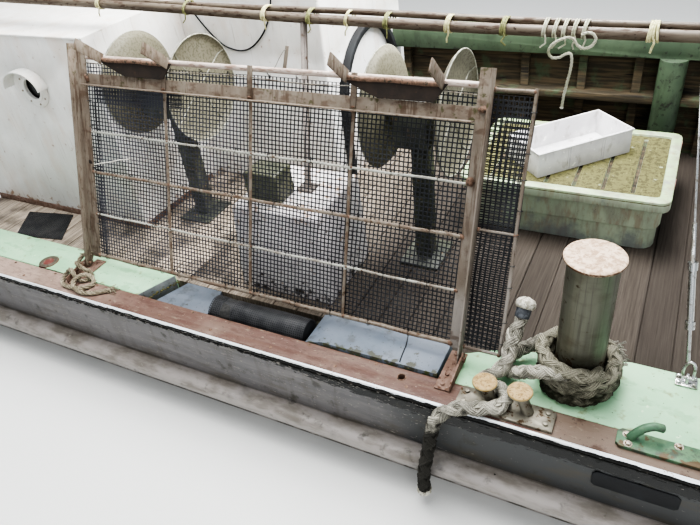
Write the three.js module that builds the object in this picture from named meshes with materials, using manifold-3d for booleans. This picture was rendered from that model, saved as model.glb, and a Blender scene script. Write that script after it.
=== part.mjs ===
import * as THREE from 'three'
import { mergeVertices } from 'three/addons/utils/BufferGeometryUtils.js'
import Module from 'manifold-3d'

const wasm = await Module()
wasm.setup()
const { Manifold, Mesh: SolidMesh } = wasm

// Millimetres. X runs along the gunwale, Y points inboard, Z is up.
// Sizes below are measured from the gunwale's outer top edge at the screen's left post.
// The origin is on the underside of the middle girder, where the section is fastened.
const origin = [900, 640, -240]

const section = { left: -1200, right: 2720, inboard: 2160 }
const gap = 0.3

const gunwale = { outer: 3, inner: 107, thick: 35 }
const side = { thick: 38, bottom: -420 }
const plank = { top: -50, bottom: -110, pitch: 118, groove: 5, grooveDepth: 8, outer: 300.3 }
const girder = { bottom: -240 }
const girders = [120, 640, 1210, 1720, 2080]
const beams = [-1110, 0, 1100, 2630]

const screen = { lean: 20.1, y: 234, z: 55, width: 1820, leg: 50, thick: 5, postTop: 940 }
const hinge = { y: 194, z: 30 }
const rods = [
  { h: 0, r: 8 }, { h: 200, r: 4.5 }, { h: 394, r: 6.5 }, { h: 575, r: 4.5 },
]
const uprightRods = [485, 906, 1338]
const topPipe = { h: 887, r: 10.5, y: 8 }
const sideRod = { x: 1948, top: 888 }
const forks = [[162, 518], [1314, 1658]]

const bollard = { x: 2204, y: 258, r: 76, cap: 89, height: 524 }
const reels = [{ x: 181.5, z: 652, half: 160 }, { x: 1445, z: 641, half: 125 }]
const reel = { y: 850, r: 243, shaft: 15 }
const casing = { right: -20, outer: 605, back: 1250, top: 945, wall: 25 }
const wall = { end: 805, thick: 40, top: 1250 }
const arch = { y: 1680, z: 380, r: 340, band: 32, proud: 42 }
const machine = { low: [745, 1200], high: [790, 1185], outer: 380, inner: 760, top: 370 }
const porthole = { x: -472, z: 685, r: 56, ring: 96 }
const rail = { y: 750, r: 17.5, secondY: 782, secondR: 11.5 }
const railHeights = [[-1180, 1078], [-500, 1058], [288, 1038], [1018, 1011], [1773, 995], [2700, 990]]
const secondHeights = [[-1180, 1092], [-200, 1062], [650, 1038], [1240, 1030], [1830, 1014], [2700, 1008]]
const bulwark = { left: 805, face: 2125, capFace: 2040, capLow: 475, capTop: 590, shelf: [240, 276] }
const frames = [830, 1190, 1520, 1820, 2090, 2430, 2650]
const farPost = { x: 2285, y: 2055, r: 65 }
const fishBox = { x: [1500, 2390], y: [1130, 1800], lidLow: 160, panel: 196, rim: 208, rimWide: 45 }
const tray = { x: 1840, y: 1225, long: 488, wide: 250, turn: 45.8, height: 120, wall: 6 }

const colours = {
  cap: 0x8a6f66, steel: 0xc9cccf, hull: 0x8f9698, deck: 0xa9cdb8, plank: 0x7d746a,
  timber: 0x6f6456, white: 0xd9dad6, rust: 0x8d7463, galvanised: 0x9a9288, net: 0x1d1e20,
  rope: 0x8f8b7c, cover: 0x9fb2c2, bronze: 0x6f9c86, reel: 0xc4c3b2, dark: 0x3b3d3f,
  glass: 0x22272a, red: 0xa0463c, black: 0x17181a, fair: 0xa8a39a,
}

// Solid helpers
const toSolid = (geometry) => {
  const bare = geometry.clone()
  bare.deleteAttribute('normal')
  bare.deleteAttribute('uv')
  const merged = mergeVertices(bare, 1e-4)
  return new Manifold(new SolidMesh({
    numProp: 3,
    vertProperties: new Float32Array(merged.attributes.position.array),
    triVerts: new Uint32Array(merged.index.array),
  }))
}

const fromSolid = (solid) => {
  const mesh = solid.getMesh()
  const geometry = new THREE.BufferGeometry()
  geometry.setAttribute('position', new THREE.BufferAttribute(new Float32Array(mesh.vertProperties), 3))
  geometry.setIndex(new THREE.BufferAttribute(new Uint32Array(mesh.triVerts), 1))
  return geometry
}

const join = (list) => fromSolid(list.map(toSolid).reduce((a, b) => a.add(b)))
const cut = (base, list) => fromSolid(list.map(toSolid).reduce((a, b) => a.subtract(b), toSolid(base)))

const box = (x0, x1, y0, y1, z0, z1) => {
  const geometry = new THREE.BoxGeometry(x1 - x0, y1 - y0, z1 - z0)
  return geometry.translate((x0 + x1) / 2, (y0 + y1) / 2, (z0 + z1) / 2)
}

const shapeOf = (points) => new THREE.Shape(points.map(([a, b]) => new THREE.Vector2(a, b)))
const extrude = (points, depth) => new THREE.ExtrudeGeometry(shapeOf(points), { depth, bevelEnabled: false })
const axisX = new THREE.Vector3(1, 0, 0)
const axisY = new THREE.Vector3(0, 1, 0)
const axisZ = new THREE.Vector3(0, 0, 1)

// Points are [y, z] for prismX, [x, z] for prismY and [x, y] for prismZ.
const prismX = (points, x0, x1) => extrude(points, x1 - x0)
  .applyMatrix4(new THREE.Matrix4().makeBasis(axisY, axisZ, axisX)).translate(x0, 0, 0)
const prismY = (points, y0, y1) => extrude(points, y1 - y0)
  .applyMatrix4(new THREE.Matrix4().makeBasis(axisX, axisZ, axisY.clone().negate())).translate(0, y1, 0)
const prismZ = (points, z0, z1) => extrude(points, z1 - z0).translate(0, 0, z0)

const rod = (from, to, r, sides = 16) => {
  const a = new THREE.Vector3(...from)
  const b = new THREE.Vector3(...to)
  const geometry = new THREE.CylinderGeometry(r, r, a.distanceTo(b), sides)
  const turn = new THREE.Quaternion().setFromUnitVectors(axisY, b.clone().sub(a).normalize())
  return geometry.applyQuaternion(turn).translate(...a.add(b).multiplyScalar(0.5).toArray())
}

// A turned solid: profile of [radius, height] pairs, closed on the axis.
const turned = (profile, sides = 40) =>
  new THREE.LatheGeometry(profile.map(([r, h]) => new THREE.Vector2(r, h)), sides)
const upright = (geometry, x, y, z) => geometry.rotateX(Math.PI / 2).translate(x, y, z)
const alongX = (geometry, x, y, z) => geometry.rotateZ(-Math.PI / 2).translate(x, y, z)

const hose = (points, r, steps, sides = 10) => {
  const path = new THREE.CatmullRomCurve3(points.map((p) => new THREE.Vector3(...p)), false, 'centripetal')
  const ring = Array.from({ length: sides }, (_, i) => {
    const a = 2 * Math.PI * i / sides
    return [r * Math.cos(a), r * Math.sin(a)]
  })
  return new THREE.ExtrudeGeometry(shapeOf(ring), { steps, extrudePath: path, bevelEnabled: false })
}

const part = new THREE.Group()
part.name = 'side_deck_section'
const add = (name, colour, geometry) => {
  const flat = geometry.index ? geometry.toNonIndexed() : geometry
  flat.deleteAttribute('normal')
  flat.deleteAttribute('uv')
  const merged = mergeVertices(flat, 1e-4).translate(-origin[0], -origin[1], -origin[2])
  merged.computeVertexNormals()
  const mesh = new THREE.Mesh(merged, new THREE.MeshStandardMaterial({ color: colour }))
  mesh.name = name
  part.add(mesh)
}

// Hull side and gunwale
const { left, right, inboard } = section
add('gunwale_cap', colours.cap, cut(
  box(left, right, gunwale.outer, gunwale.inner, -gunwale.thick, 0),
  [rod([1650, 68, -40], [1650, 68, 5], 13, 20)],
))
add('edge_strip', colours.steel, prismX(
  [[2.7, -18], [2.7, 1], [-2, 1.6], [-7, -0.6], [-10, -5], [-11, -9], [-10, -13], [-7, -17], [-2, -18.6]],
  left, right,
))
add('hull_side', colours.hull, box(left, right, 0, side.thick, side.bottom, -gunwale.thick - gap))
add('rub_rail', colours.hull, prismX(
  [[-gap, -312], [-gap, -245], [-48, -245], [-62, -249], [-72, -260], [-75, -278], [-72, -296],
    [-62, -308], [-48, -312]],
  left, right,
))
add('side_pad', colours.black, prismY(
  [[2322, -160], [2312, -150], [2312, -104], [2324, -92], [2548, -92], [2560, -104], [2560, -150],
    [2550, -160]],
  -5, -gap,
))

// Side deck, recess and plank deck
add('waterway_board', colours.deck, box(left, right, side.thick + gap, 300, -110, -90))
add('deck_left', colours.deck, cut(
  prismZ([[left, 107.3], [373, 107.3], [446, 275], [430, 294], [left, 294]], -89.7, 0),
  [rod([-248, 156, -12], [-248, 156, 5], 47, 32)],
))
add('deck_disc', colours.red, upright(turned([[0, -11.7], [46.5, -11.7], [46.5, 0.5], [34, 1.5], [0, 1.5]], 32),
  -248, 156, 0))
add('deck_right', colours.deck, join([
  prismZ([[1779, 107.3], [right, 107.3], [right, 300], [1900, 300], [1835, 262], [1779, 240]], -89.7, 0),
  prismZ([[1899, 299.5], [right, 299.5], [right, 408], [2360, 408], [2250, 390], [1960, 325]], -49.7, 0),
]))
const plankProfile = [[right, plank.bottom], [right, plank.top]]
for (let x = right - plank.pitch; x > left + 20; x -= plank.pitch) {
  plankProfile.push([x + plank.groove, plank.top], [x + plank.groove, plank.top - plank.grooveDepth],
    [x, plank.top - plank.grooveDepth], [x, plank.top])
}
plankProfile.push([left, plank.top], [left, plank.bottom])
add('plank_deck', colours.plank, prismY(plankProfile, plank.outer, inboard))
add('girders', colours.timber, join([
  ...girders.map((y) => box(left, right, y - 40, y + 40, girder.bottom, plank.bottom - gap)),
  ...beams.map((x) => box(x - 40, x + 40, girders[0], inboard - 40, girder.bottom + 10, plank.bottom - gap)),
]))

// Covers and the rolled net in the recess
add('cover_left', colours.cover, prismZ(
  [[424, 112], [728, 112], [690, 292], [500, 292]], -89.7, -42,
))
add('net_roll', colours.net, alongX(turned([[0, 0], [40, 0], [56, 8], [60, 20], [60, 440], [56, 455], [40, 464],
  [0, 464]], 24), 750, 176, -29.7))
add('cover_right', colours.cover, join([
  prismY([[1226, -89.7], [1764, -89.7], [1764, 14], [1300, 14], [1226, -12]], 112, 281),
]))

// Deckhouse side
const wallFace = casing.outer
add('deckhouse_casing', colours.white, cut(
  box(left, casing.right, wallFace, casing.back, plank.top + gap, casing.top),
  [
    box(left + casing.wall, casing.right - casing.wall, wallFace + casing.wall, casing.back - casing.wall,
      plank.top - 10, casing.top - casing.wall),
    rod([porthole.x, wallFace - 10, porthole.z], [porthole.x, wallFace + 60, porthole.z], porthole.r, 40),
  ],
))
const ring = turned([[porthole.r - 6, gap], [porthole.ring, gap], [porthole.ring, 4], [porthole.ring - 8, 7],
  [porthole.r + 8, 7], [porthole.r + 4, 12], [porthole.r - 2, 12], [porthole.r - 6, 9], [porthole.r - 6, gap]], 40)
add('porthole_ring', colours.white, ring.translate(0, 0, 0).rotateX(Math.PI).translate(porthole.x, wallFace,
  porthole.z))
add('porthole_glass', colours.glass, rod([porthole.x, wallFace + 6, porthole.z],
  [porthole.x, wallFace + 14, porthole.z], porthole.r - gap, 40))
const hood = []
const hoodSteps = 18
for (let i = 0; i <= hoodSteps; i++) {
  const a = Math.PI * i / hoodSteps
  hood.push([porthole.x - 20 + 138 * Math.cos(a), 698 + 100 * Math.sin(a)])
}
for (let i = hoodSteps; i >= 0; i--) {
  const a = Math.PI * i / hoodSteps
  hood.push([porthole.x - 20 + 131 * Math.cos(a), 698 + 93 * Math.sin(a)])
}
add('porthole_hood', colours.white, prismY(hood, wallFace - 62, wallFace - gap))
const wallOuter = casing.back + gap
add('deckhouse_wall', colours.white, join([
  box(left, wall.end, wallOuter, wallOuter + wall.thick, plank.top + gap, wall.top),
  box(wall.end - wall.thick, wall.end, wallOuter, inboard, plank.top + gap, wall.top),
]))
const archLine = (r) => Array.from({ length: 19 }, (_, i) => {
  const a = Math.PI * i / 18
  return [arch.y + r * Math.cos(a), arch.z + r * Math.sin(a)]
})
add('wall_arch', colours.dark, prismX([
  [arch.y + arch.r, plank.top + gap], ...archLine(arch.r), [arch.y - arch.r, plank.top + gap],
  [arch.y - arch.r + arch.band, plank.top + gap], ...archLine(arch.r - arch.band).reverse(),
  [arch.y + arch.r - arch.band, plank.top + gap],
], wall.end + gap, wall.end + arch.proud))

// Machine behind the screen, with its motor box
const floor = plank.top + gap
add('machine_plinth', colours.white, prismY([
  [machine.low[0], floor], [machine.low[1], floor], [machine.high[1], machine.top], [machine.high[0], machine.top],
], machine.outer, machine.inner))
add('motor_box', colours.dark, prismY([
  [835, machine.top + gap], [990, machine.top + gap], [990, 492], [982, 500], [843, 500], [835, 492],
], 440, 560))

// Far bulwark
add('bulwark_frames', colours.timber, cut(join([
  box(bulwark.left + arch.proud, right, bulwark.face, inboard, floor, bulwark.capLow - gap),
  box(bulwark.left + arch.proud, right, bulwark.face - 85, bulwark.face + 1, ...bulwark.shelf),
  ...frames.map((x) => box(x + 20, x + 62, bulwark.face - 40, bulwark.face + 1, floor, bulwark.capLow - gap)),
]), [rod([farPost.x, farPost.y, floor - 5], [farPost.x, farPost.y, bulwark.capLow + 5], farPost.r + gap, 28)]))
add('bulwark_cap', colours.deck, join([
  prismX([[bulwark.capFace, bulwark.capLow], [inboard, bulwark.capLow], [inboard, bulwark.capTop],
    [bulwark.capFace + 26, bulwark.capTop], [bulwark.capFace + 8, bulwark.capTop - 8],
    [bulwark.capFace, bulwark.capTop - 26]], bulwark.left + gap, right),
  rod([farPost.x, farPost.y, floor], [farPost.x, farPost.y, bulwark.capLow + 1], farPost.r, 28),
]))

// Awning rail
const railPipe = (r) => hose(railHeights.map(([x, z]) => [x, rail.y, z]), r, 26, 14)
const clamp = { left: [-1100, 1074], middle: [1033, 1009], right: [2650, 988] }
add('awning_rail', colours.galvanised, join([
  railPipe(rail.r),
  hose(secondHeights.map(([x, z]) => [x, rail.secondY, z]), rail.secondR, 26, 12),
  ...Object.values(clamp).map(([x, z]) => rod([x, rail.y, z + 2], [x, rail.secondY, z + 18], 8, 10)),
]))
const railRoom = railPipe(rail.r + gap)
const awningPost = (name, x, top, y, foot, r) => add(`awning_post_${name}`, colours.galvanised, cut(join([
  rod([x, y - (rail.y - y) * 10 / (top - foot), foot - 10], [x, rail.y, top], r, 16),
  box(x - 36, x + 36, y - 34, y + 34, foot + gap, foot + 8),
]), [railRoom, box(x - 60, x + 60, y - 80, y + 80, foot - 40, foot + gap)]))
awningPost('left', ...clamp.left, rail.y, casing.top, 16)
awningPost('middle', ...clamp.middle, 595, machine.top, 13.5)
awningPost('right', ...clamp.right, rail.y, plank.top, 16)

// Line reels on their stands
const reelProfile = (half) => [
  [0, -half - 30], [reel.shaft, -half - 30], [reel.shaft, -half - 6], [46, -half - 6],
  [205, -half - 10], [reel.r - 6, -half - 32], [reel.r, -half - 32], [reel.r, -half - 28],
  [208, -half - 5], [50, -half], [50, -half + 30], [reel.shaft, -half + 30],
  [reel.shaft, half - 30], [50, half - 30], [50, half], [208, half + 5],
  [reel.r, half + 28], [reel.r, half + 32], [reel.r - 6, half + 32], [205, half + 10],
  [46, half + 6], [reel.shaft, half + 6], [reel.shaft, half + 30], [0, half + 30],
]
reels.forEach(({ x, z, half }, i) => {
  const name = ['left', 'right'][i]
  const standHalf = half - 55
  add(`reel_${name}`, colours.reel, alongX(turned(reelProfile(half), 30), x, reel.y, z))
  add(`reel_stand_${name}`, colours.dark, cut(join([
    box(x - 90, x + 90, reel.y - 110, reel.y + 110, floor, floor + 10),
    box(x - 36, x + 36, reel.y - 36, reel.y + 36, floor + 9, z - 90),
    box(x - standHalf, x + standHalf, reel.y - 120, reel.y + 120, z - 110, z + 90),
  ]), [rod([x - 120, reel.y, z], [x + 120, reel.y, z], reel.shaft + 0.5, 20)]))
})

// Fish box with its lid, and the open tray on it
const rounded = (x0, x1, y0, y1, r) => [[x1 - r, y1 - r, 0], [x0 + r, y1 - r, 1], [x0 + r, y0 + r, 2],
  [x1 - r, y0 + r, 3]].flatMap(([x, y, quarter]) => [0, 1, 2, 3].map((i) => {
  const a = Math.PI / 2 * (quarter + i / 3)
  return [x + r * Math.cos(a), y + r * Math.sin(a)]
}))
const lidArea = (inset, r) => rounded(fishBox.x[0] + inset, fishBox.x[1] - inset, fishBox.y[0] + inset,
  fishBox.y[1] - inset, r)
const grooves = [1630, 1750, 1870, 1990, 2110, 2230]
const inRim = fishBox.rimWide
add('fish_box', colours.deck, cut(join([
  prismZ(lidArea(34, 60), floor, 60),
  prismZ(lidArea(24, 60), 59, fishBox.lidLow + 1),
  prismZ(lidArea(0, 42), fishBox.lidLow, fishBox.rim),
]), [
  prismZ(lidArea(inRim, 20), fishBox.panel, fishBox.rim + 5),
  ...grooves.map((x) => box(x, x + 16, fishBox.y[0] + inRim + 30, fishBox.y[1] - inRim - 30, fishBox.panel - 12,
    fishBox.panel + 5)),
]))
const trayTurn = new THREE.Matrix4().makeRotationZ(THREE.MathUtils.degToRad(tray.turn))
  .setPosition(tray.x, tray.y, fishBox.panel + gap)
add('fish_tray', colours.white, cut(
  box(0, tray.long, 0, tray.wide, 0, tray.height),
  [box(tray.wall, tray.long - tray.wall, tray.wall, tray.wide - tray.wall, tray.wall, tray.height + 5)],
).applyMatrix4(trayTurn))

// Screen, drawn upright in its own frame and then leant inboard
const lean = THREE.MathUtils.degToRad(-screen.lean)
const leant = (geometry) => geometry.rotateX(lean).translate(0, screen.y, screen.z)
const c = Math.cos(-lean)
const s = Math.sin(-lean)
const pivot = [
  (hinge.y - screen.y) * c - (hinge.z - screen.z) * s,
  (hinge.y - screen.y) * s + (hinge.z - screen.z) * c,
]

const eye = [[-screen.leg, -20]]
for (let i = 0; i <= 10; i++) {
  const a = Math.PI * (1 + i / 10)
  eye.push([pivot[0] + 18 * Math.cos(a), pivot[1] + 18 * Math.sin(a)])
}
eye.push([-2.4, -12], [-2.4, screen.postTop], [-screen.leg, screen.postTop])
const post = (outerX, innerX) => {
  const web = outerX < innerX ? [outerX, outerX + screen.thick] : [outerX - screen.thick, outerX]
  const face = [Math.min(outerX, innerX), Math.max(outerX, innerX)]
  return leant(cut(join([
    box(face[0], face[1], -2.5, 2.5, -12, screen.postTop),
    prismX(eye, web[0], web[1]),
  ]), [rod([web[0] - 5, ...pivot], [web[1] + 5, ...pivot], 6.5, 20)]))
}
add('screen_post_left', colours.rust, post(0, 50))
add('screen_post_right', colours.rust, post(screen.width, screen.width - 50))

const inner = [50.3, screen.width - 50.3]
add('screen_angle', colours.rust, leant(join([
  box(inner[0], inner[1], -2.5, 2.5, 773, 821),
  box(inner[0], inner[1], -42, -2.4, 773, 778),
])))
add('screen_rods', colours.rust, leant(join([
  ...rods.map(({ h, r }) => rod([inner[0], 0, h], [inner[1], 0, h], r, 10)),
  ...uprightRods.map((x) => rod([x, 0, 0], [x, 0, 772.7], 6.4, 10)),
])))
add('screen_top_pipe', colours.galvanised, leant(
  rod([inner[0], topPipe.y, topPipe.h], [inner[1], topPipe.y, topPipe.h], topPipe.r, 16),
))
add('screen_side_frame', colours.rust, leant(join([
  rod([sideRod.x, 0, -6], [sideRod.x, 0, sideRod.top], 6, 12),
  rod([screen.width + gap, 0, 0], [sideRod.x, 0, 0], 5.9, 12),
  rod([screen.width + gap, 0, 430], [sideRod.x, 0, 430], 4.5, 12),
  rod([screen.width + gap, 0, 878], [sideRod.x, 0, 878], 5.9, 12),
])))
uprightRods.forEach((x, i) => add(`screen_flat_${i + 1}`, colours.rust, leant(
  box(x - 11, x + 11, -7.8, -2.8, 778.3, 899),
)))
forks.forEach(([a, b], i) => {
  const rise = THREE.MathUtils.degToRad(22.9)
  const arm = (x) => box(x - 3, x + 3, -146, 0, -22, 22).rotateX(-rise).translate(0, -12, 884)
  add(`screen_fork_${i + 1}`, colours.rust, leant(join([
    arm(a), arm(b), box(a - 22, b + 22, -14, -8.2, 842, 884),
  ])))
})
const net = { x0: 16, x1: 1946, h0: -3, h1: 864, y0: 8.3, y1: 11.3, strand: 5, columns: 12, rows: 6 }
const netStep = (net.x1 - net.x0 - net.strand) / net.columns
const netRise = (net.h1 - net.h0 - net.strand) / net.rows
const strands = []
for (let i = 0; i <= net.columns; i++) {
  const x = net.x0 + i * netStep
  strands.push(box(x, x + net.strand, net.y0, net.y1, net.h0, net.h1))
}
for (let j = 0; j <= net.rows; j++) {
  const h = net.h0 + j * netRise
  strands.push(box(net.x0, net.x1, net.y0, net.y1, h, h + net.strand))
}
add('screen_net', colours.net, leant(join(strands)))

// Hinge brackets on the cap
const hexBolt = (x, y, z0) => rod([x, y, z0], [x, y, z0 + 8], 8, 6)
const bracket = (web, foot, pinFrom, pinTo, headFrom, headTo) => join([
  box(foot[0], foot[1], 60, 250, gap, 6),
  prismX([[60, 5], [60, 30], [150, 48], [204, 50], [218, 40], [222, 26], [222, 5]], web[0], web[1]),
  rod([pinFrom, hinge.y, hinge.z], [pinTo, hinge.y, hinge.z], 6, 16),
  rod([headFrom, hinge.y, hinge.z], [headTo, hinge.y, hinge.z], 10, 6),
  ...[82, 130, 232].map((y) => hexBolt((foot[0] + foot[1]) / 2 + (web[0] > foot[0] ? -6 : 6), y, 5)),
])
add('bracket_right', colours.rust, bracket([1826, 1832], [1773, 1832], 1806, 1834, 1831, 1840))
add('bracket_left', colours.rust, bracket([-12, -6], [-12, 47], -14, 14, -20, -11))

// Bollard, fairlead, chock and stay
add('bollard', colours.steel, upright(turned([
  [0, gap], [bollard.r + 16, gap], [bollard.r + 16, 8], [bollard.r, 12], [bollard.r, bollard.height - 14],
  [bollard.cap - 3, bollard.height - 11], [bollard.cap, bollard.height - 7], [bollard.cap, bollard.height - 2],
  [bollard.cap - 3, bollard.height], [0, bollard.height],
], 40), bollard.x, bollard.y, 0))
const horn = (foot, cap) => join([
  rod([foot[0], foot[1], 8], [cap[0], cap[1], 84], 19, 20),
  upright(turned([[0, 0], [34, 0], [40.5, 5], [40.5, 9], [38, 11], [0, 11]], 28), cap[0], cap[1], 80),
])
add('fairlead', colours.fair, join([
  prismZ([[1862, 12], [2176, 12], [2176, 88], [2160, 100], [1876, 100], [1862, 88]], gap, 11),
  horn([1975, 62], [1946, 70]),
  horn([2092, 62], [2060, 70]),
  ...[[1886, 34], [2152, 34], [1886, 78], [2152, 78]].map(([x, y]) => rod([x, y, 10], [x, y, 19], 9, 6)),
]))
const chockHorn = hose([[2392, 74, 14], [2404, 78, 34], [2424, 86, 56], [2452, 96, 66], [2476, 104, 58]], 13, 14, 12)
add('bronze_chock', colours.bronze, join([
  prismZ([[2368, 36], [2700, 36], [2700, 98], [2640, 104], [2368, 104], [2356, 92], [2356, 48]], gap, 13),
  chockHorn,
]))
add('pad_eye', colours.steel, cut(join([
  prismZ([[2496, 352], [2562, 352], [2562, 402], [2496, 402]], gap, 6),
  prismX([[362, 5], [362, 24], [369, 34], [385, 34], [392, 24], [392, 5]], 2525, 2533),
]), [rod([2520, 377, 20], [2538, 377, 20], 5.9, 16)]))

// Turnbuckle and wire from the pad eye to the awning rail
const stayFrom = new THREE.Vector3(2529, 377, 20)
const stayTo = new THREE.Vector3(2366, 736, 969)
const onStay = (t) => stayFrom.clone().lerp(stayTo, t).toArray()
add('turnbuckle', colours.steel, join([
  rod([2511, 377, 20], [2547, 377, 20], 5.5, 14),
  hose([[2513, 377, 20], [2513, 381, 36], [2514, 387, 56], [2522, 393, 72], [2532, 395, 75], [2541, 392, 68],
    [2545, 386, 54], [2545, 381, 36], [2545, 377, 20]], 5, 14, 8),
  rod(onStay(0.055), onStay(0.17), 6, 10),
  rod(onStay(0.165), onStay(0.19), 15, 12),
  rod(onStay(0.185), onStay(0.36), 11, 12),
  rod(onStay(0.355), onStay(0.38), 15, 12),
  rod(onStay(0.375), onStay(0.5), 6, 10),
  rod(onStay(0.49), onStay(1), 3, 8),
]))

// Ropes. Their routes are points chosen by hand.
const hawser = 24
const hawserLead = [
  [2004, 322, 214], [2000, 296, 180], [1989, 262, 142], [1986, 226, 104], [1984, 190, 70], [1962, 166, 48],
  [1938, 150, 33], [1922, 130, 27], [1926, 113, 33], [1948, 108, 35.3], [1975, 109, 35.3], [2000, 99, 35.3],
  [2015, 77, 35.3], [2014, 52, 35.3], [2000, 28, 35.3], [1972, 13, 35.3], [1930, -4, 33],
  [1880, -18, 27], [1840, -38, 8], [1815, -46, -30], [1803, -52, -90], [1796, -68, -160], [1791, -96, -228],
  [1788, -103, -290], [1787, -101, -345],
]
const hawserLoop = [
  [2063.7, 186.9, 140], [2048, 206, 138], [2041, 236, 136], [2040, 262, 136], [2043, 290, 137], [2052, 318, 138],
  [2071.6, 345.7, 140],
]
add('hawser_coil', colours.rope, upright(turned([
  [96, gap], [126, gap], [134, 22], [133, 44], [128, 56], [133, 68], [134, 90], [128, 111], [133, 123],
  [134, 145], [124, 164], [110, 167], [84, 160], [84, 16], [96, 14], [96, gap],
], 32), bollard.x, bollard.y, 0))
add('hawser_loop', colours.rope, hose(hawserLoop, hawser, 16, 12))
add('hawser_lead', colours.rope, hose(hawserLead, hawser, 56, 12))
const lashing = [
  [-34, 158, 9], [-38, 138, 24], [-28, 118, 42], [-9, 108, 49], [14, 114, 42], [40, 128, 34], [62, 130, 27],
  [74, 114, 21], [54, 99, 21], [24, 98, 24], [0, 86, 46], [-10, 72, 46], [-6, 48, 34], [18, 40, 12], [52, 40, 8],
  [100, 50, 8], [132, 72, 8], [140, 96, 8], [120, 118, 9], [94, 122, 22], [76, 106, 38], [78, 84, 38],
  [100, 70, 26], [130, 50, 10], [162, 38, 8], [200, 34, 8], [232, 44, 8],
]
add('lashing', colours.rope, hose(lashing, 7, 52, 8))
const railRope = [
  [2034, 731.6, 994], [2034.6, 724, 994.6], [2048, 719, 1002], [2064, 718, 1000], [2075, 718, 984], [2066, 716, 964], [2044, 714, 956], [2024, 712, 966],
  [2012, 710, 984], [1996, 706, 990], [1972, 702, 982], [1950, 700, 966], [1942, 698, 946], [1954, 696, 930],
  [1978, 694, 932], [1996, 692, 944], [2010, 690, 946], [2016, 690, 928], [2014, 692, 890], [2008, 694, 850],
  [2002, 696, 810], [1999, 697, 770],
]
add('rail_rope', colours.rope, hose(railRope, 5, 60, 8))
const wallCable = [
  [20, 1246, 1010], [48, 1246, 923], [85, 1246, 861], [164, 1246, 764], [225, 1246, 715], [289, 1246, 694],
  [345, 1246, 694], [400, 1246, 715], [472, 1246, 775], [523, 1246, 847], [550, 1246, 916], [566, 1246, 1010],
]
add('wall_cable', colours.black, hose(wallCable, 4, 40, 8))

export default part
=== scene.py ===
import math
import random
import bpy
from mathutils import Matrix, Vector


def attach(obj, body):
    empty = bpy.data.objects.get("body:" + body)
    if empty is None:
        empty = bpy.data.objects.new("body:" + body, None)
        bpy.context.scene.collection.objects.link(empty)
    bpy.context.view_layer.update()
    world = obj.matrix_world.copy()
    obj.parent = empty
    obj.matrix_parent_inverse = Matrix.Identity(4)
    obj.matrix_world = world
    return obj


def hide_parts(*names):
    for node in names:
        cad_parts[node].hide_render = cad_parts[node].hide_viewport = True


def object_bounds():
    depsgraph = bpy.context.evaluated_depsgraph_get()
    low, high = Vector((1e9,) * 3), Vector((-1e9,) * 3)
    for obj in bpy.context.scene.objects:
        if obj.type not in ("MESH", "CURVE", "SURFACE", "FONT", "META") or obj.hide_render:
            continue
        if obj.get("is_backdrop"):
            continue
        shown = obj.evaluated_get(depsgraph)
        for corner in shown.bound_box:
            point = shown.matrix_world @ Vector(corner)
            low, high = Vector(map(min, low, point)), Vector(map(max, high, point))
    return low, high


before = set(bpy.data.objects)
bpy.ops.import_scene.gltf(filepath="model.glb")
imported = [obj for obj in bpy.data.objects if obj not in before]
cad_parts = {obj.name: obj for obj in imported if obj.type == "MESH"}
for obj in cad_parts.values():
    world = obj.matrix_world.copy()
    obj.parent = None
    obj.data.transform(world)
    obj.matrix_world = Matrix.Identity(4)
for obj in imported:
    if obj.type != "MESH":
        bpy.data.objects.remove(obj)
cadLow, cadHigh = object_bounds()
bpy.ops.object.select_all(action="DESELECT")
chance = random.Random(7)

# Millimetres along the gunwale, inboard and up, from the gunwale's outer top edge at the screen's
# left post, as in the part's source. The row frame's origin lies at this point of them.
rowOrigin = (900, 640, -240)
screenLean = math.radians(20.1)
screenFoot = (234, 55)


def at(x, y, z):
    return Vector(((x - rowOrigin[0]) / 1000, (y - rowOrigin[1]) / 1000, (z - rowOrigin[2]) / 1000))


def onScreen(x, y, h):
    # x along the screen, y inboard of its plane, h up along its posts
    return at(
        x,
        screenFoot[0] + y * math.cos(screenLean) + h * math.sin(screenLean),
        screenFoot[1] - y * math.sin(screenLean) + h * math.cos(screenLean),
    )


# Camera, solved from the screen's four corners and the deck's lines
camera = {"lens": 32.0, "sensor": 36.0, "place": (1.421, -1.9371, 1.8735)}
cameraAxes = ((0.8902, 0.4429, -0.1064), (-0.1879, 0.5698, 0.8), (0.415, -0.6922, 0.5905))
bpy.ops.object.camera_add()
cameraObject = bpy.context.object
cameraObject.name = "camera"
cameraObject.data.lens = camera["lens"]
cameraObject.data.sensor_width = camera["sensor"]
cameraObject.matrix_world = Matrix.Translation(camera["place"]) @ Matrix(cameraAxes).transposed().to_4x4()
bpy.context.scene.camera = cameraObject
bpy.context.scene.view_settings.look = "AgX - High Contrast"


# Materials
def linear(text):
    parts = [int(text[i:i + 2], 16) / 255 for i in (1, 3, 5)]
    return [p / 12.92 if p <= 0.04045 else ((p + 0.055) / 1.055) ** 2.4 for p in parts] + [1.0]


def addNode(tree, kind, settings=None, links=None):
    # Settings are the node's own properties, or else the values of its sockets
    made = tree.nodes.new("ShaderNode" + kind)
    for key, value in (settings or {}).items():
        if isinstance(key, str) and key in made.bl_rna.properties:
            setattr(made, key, value)
        else:
            made.inputs[key].default_value = value
    for key, source in (links or {}).items():
        tree.links.new(source, made.inputs[key])
    return made


def newMaterial(name, **sockets):
    material = bpy.data.materials.new(name)
    material.use_nodes = True
    shader = material.node_tree.nodes["Principled BSDF"]
    for key, value in sockets.items():
        shader.inputs[key.replace("_", " ")].default_value = value
    return material, material.node_tree, shader


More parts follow.
